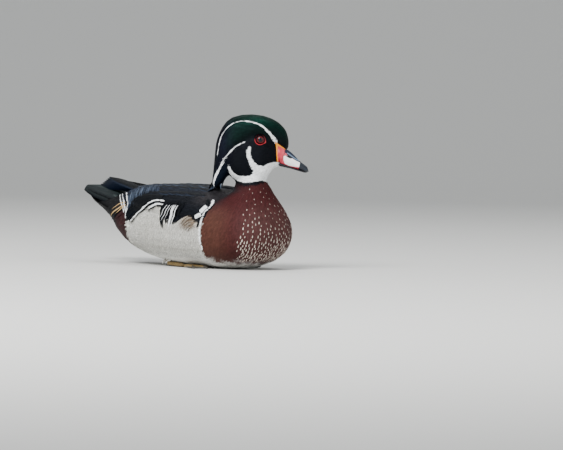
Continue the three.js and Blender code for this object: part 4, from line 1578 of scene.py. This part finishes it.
class DuckColours(bpy.types.PropertyGroup):
    """Colours of the plumage and the naked parts, linear, with the gloss as the fourth number."""

    green: colour_setting("Crown", "Glossy green of the crown and hood", GREEN)
    ink: colour_setting("Black", "Black of the cheeks and of the plumes' borders", INK)
    white: colour_setting("White", "White of the throat, the head's lines and the wing bars", WHITE)
    maroon: colour_setting("Neck", "Dark red of the neck and the upper breast", MAROON)
    chestnut: colour_setting("Breast", "Warm brown of the breast's sides", CHESTNUT)
    fleck: colour_setting("Flecks", "Pale arrowheads on the breast", FLECK)
    buff: colour_setting("Flank", "Pale ground of the flank", BUFF)
    back: colour_setting("Back", "Ground colour of the back and wings", BACK)
    # This blue is also painted as a sheen along the top of the back and on the upper scapulars' edges.
    steel: colour_setting("Wing panel", "Blue of the folded wing's panel", STEEL)
    tail_grey: colour_setting("Tail", "Upper side of the tail feathers", TAIL_GREY)
    bill: colour_setting("Bill", "Red of the bill's sides", BILL_RED)
    rim: colour_setting("Bill rim", "Yellow rim at the bill's base", BILL_YELLOW)
    iris: colour_setting("Iris", "Dark red of the eye", IRIS)
    foot: colour_setting("Feet", "Dull yellow of the toes and shanks", FOOT)


class DuckSizes(bpy.types.PropertyGroup):
    """Sizes of the coat and the settings of the stage."""

    body_depth: bpy.props.FloatProperty(
        name="Body coat", description="Depth of the coat over the body's skin", default=0.0019, min=0.0005,
        max=0.004, precision=4, unit="LENGTH")
    head_depth: bpy.props.FloatProperty(
        name="Head coat", description="Depth of the coat over the head's skin", default=0.001, min=0.0003,
        max=0.003, precision=4, unit="LENGTH")
    quill_thickness: bpy.props.FloatProperty(
        name="Quill thickness", description="Thickness of the long feathers at their middle", default=0.00025,
        min=0.0001, max=0.001, precision=5, unit="LENGTH")
    lens: bpy.props.FloatProperty(
        name="Lens", description="Focal length of the camera in millimetres", default=299.8, min=10,
        unit="CAMERA")
    distance: bpy.props.FloatProperty(
        name="Camera distance", description="From the bird to the camera", default=6.0, min=1, unit="LENGTH")
    key_power: bpy.props.FloatProperty(
        name="Main light", description="Power of the main soft light in watts", default=128, min=0,
        unit="POWER")
    floor: bpy.props.FloatVectorProperty(
        name="Floor", description="Colour of the floor and backdrop", size=4, subtype="COLOR", min=0, max=1,
        default=(0.62, 0.62, 0.60, 1.0))


def need_skin():
    """Stops a step that is run before the skin that it builds on."""
    if "surface" not in STATE:
        raise RuntimeError("make the skin first")


class DUCK_OT_skin(bpy.types.Operator):
    """Make the one skin that stands in for the head, neck, trunk and wings."""

    bl_idname = "duck.skin"
    bl_label = "Skin"

    def execute(self, context):
        build_skin()
        return {"FINISHED"}


class DUCK_OT_bill(bpy.types.Operator):
    """Make both halves of the bill and the shield at its base."""

    bl_idname = "duck.bill"
    bl_label = "Bill"

    def execute(self, context):
        need_skin()
        build_bill()
        return {"FINISHED"}


class DUCK_OT_eyes(bpy.types.Operator):
    """Make the eyeballs and the red rings about them."""

    bl_idname = "duck.eyes"
    bl_label = "Eyes"

    def execute(self, context):
        need_skin()
        build_eyes()
        return {"FINISHED"}


class DUCK_OT_feet(bpy.types.Operator):
    """Make the scaly shanks and webbed feet, with their claws."""

    bl_idname = "duck.feet"
    bl_label = "Feet"

    def execute(self, context):
        build_feet()
        return {"FINISHED"}


class DUCK_OT_head_coat(bpy.types.Operator):
    """Lay the small feathers of the face and crown, and the crest."""

    bl_idname = "duck.head_coat"
    bl_label = "Head feathers"

    def execute(self, context):
        need_skin()
        head_parts()
        return {"FINISHED"}


class DUCK_OT_body_coat(bpy.types.Operator):
    """Lay the feathers of the neck, breast, flanks, belly and back."""

    bl_idname = "duck.body_coat"
    bl_label = "Body feathers"

    def execute(self, context):
        need_skin()
        body_parts()
        return {"FINISHED"}


class DUCK_OT_wings(bpy.types.Operator):
    """Lay the long feathers of the folded wings."""

    bl_idname = "duck.wings"
    bl_label = "Wing feathers"

    def execute(self, context):
        need_skin()
        wing_parts()
        return {"FINISHED"}


class DUCK_OT_flanks(bpy.types.Operator):
    """Lay the flank's plumes and the marks in front of them."""

    bl_idname = "duck.flanks"
    bl_label = "Flank plumes"

    def execute(self, context):
        need_skin()
        flank_parts()
        return {"FINISHED"}


class DUCK_OT_tail(bpy.types.Operator):
    """Lay the tail fan, the coverts below it and the wing tips."""

    bl_idname = "duck.tail"
    bl_label = "Tail and wing tips"

    def execute(self, context):
        need_skin()
        tail_parts()
        return {"FINISHED"}


class DUCK_OT_stage(bpy.types.Operator):
    """Set up the floor, the lights and the camera."""

    bl_idname = "duck.stage"
    bl_label = "Stage"

    def execute(self, context):
        build_stage()
        return {"FINISHED"}


OPERATORS = (
    DUCK_OT_skin,
    DUCK_OT_bill,
    DUCK_OT_eyes,
    DUCK_OT_feet,
    DUCK_OT_head_coat,
    DUCK_OT_body_coat,
    DUCK_OT_wings,
    DUCK_OT_flanks,
    DUCK_OT_tail,
    DUCK_OT_stage,
)


class DUCK_PT_panel(bpy.types.Panel):
    """The settings, and the steps that make the duck, in order."""

    bl_label = "Wood Duck"
    bl_idname = "DUCK_PT_panel"
    bl_space_type = "VIEW_3D"
    bl_region_type = "UI"
    bl_category = "Duck"

    def draw(self, context):
        for group in (context.scene.duck_sizes, context.scene.duck_colours):
            box = self.layout.box()
            for name in group.__annotations__:
                box.prop(group, name)
        for step in OPERATORS:
            self.layout.operator(step.bl_idname)


CLASSES = (DuckColours, DuckSizes, *OPERATORS, DUCK_PT_panel)


def register():
    """Registers the classes and the scene's settings."""
    for cls in CLASSES:
        bpy.utils.register_class(cls)
    bpy.types.Scene.duck_colours = bpy.props.PointerProperty(type=DuckColours)
    bpy.types.Scene.duck_sizes = bpy.props.PointerProperty(type=DuckSizes)


def unregister():
    """Takes them away again."""
    del bpy.types.Scene.duck_sizes
    del bpy.types.Scene.duck_colours
    for cls in reversed(CLASSES):
        bpy.utils.unregister_class(cls)


def main():
    """Makes the whole duck."""
    register()
    bpy.ops.duck.skin()
    bpy.ops.duck.bill()
    bpy.ops.duck.eyes()
    bpy.ops.duck.feet()
    bpy.ops.duck.head_coat()
    bpy.ops.duck.body_coat()
    bpy.ops.duck.wings()
    bpy.ops.duck.flanks()
    bpy.ops.duck.tail()
    bpy.ops.duck.stage()


if __name__ == "__main__":
    main()
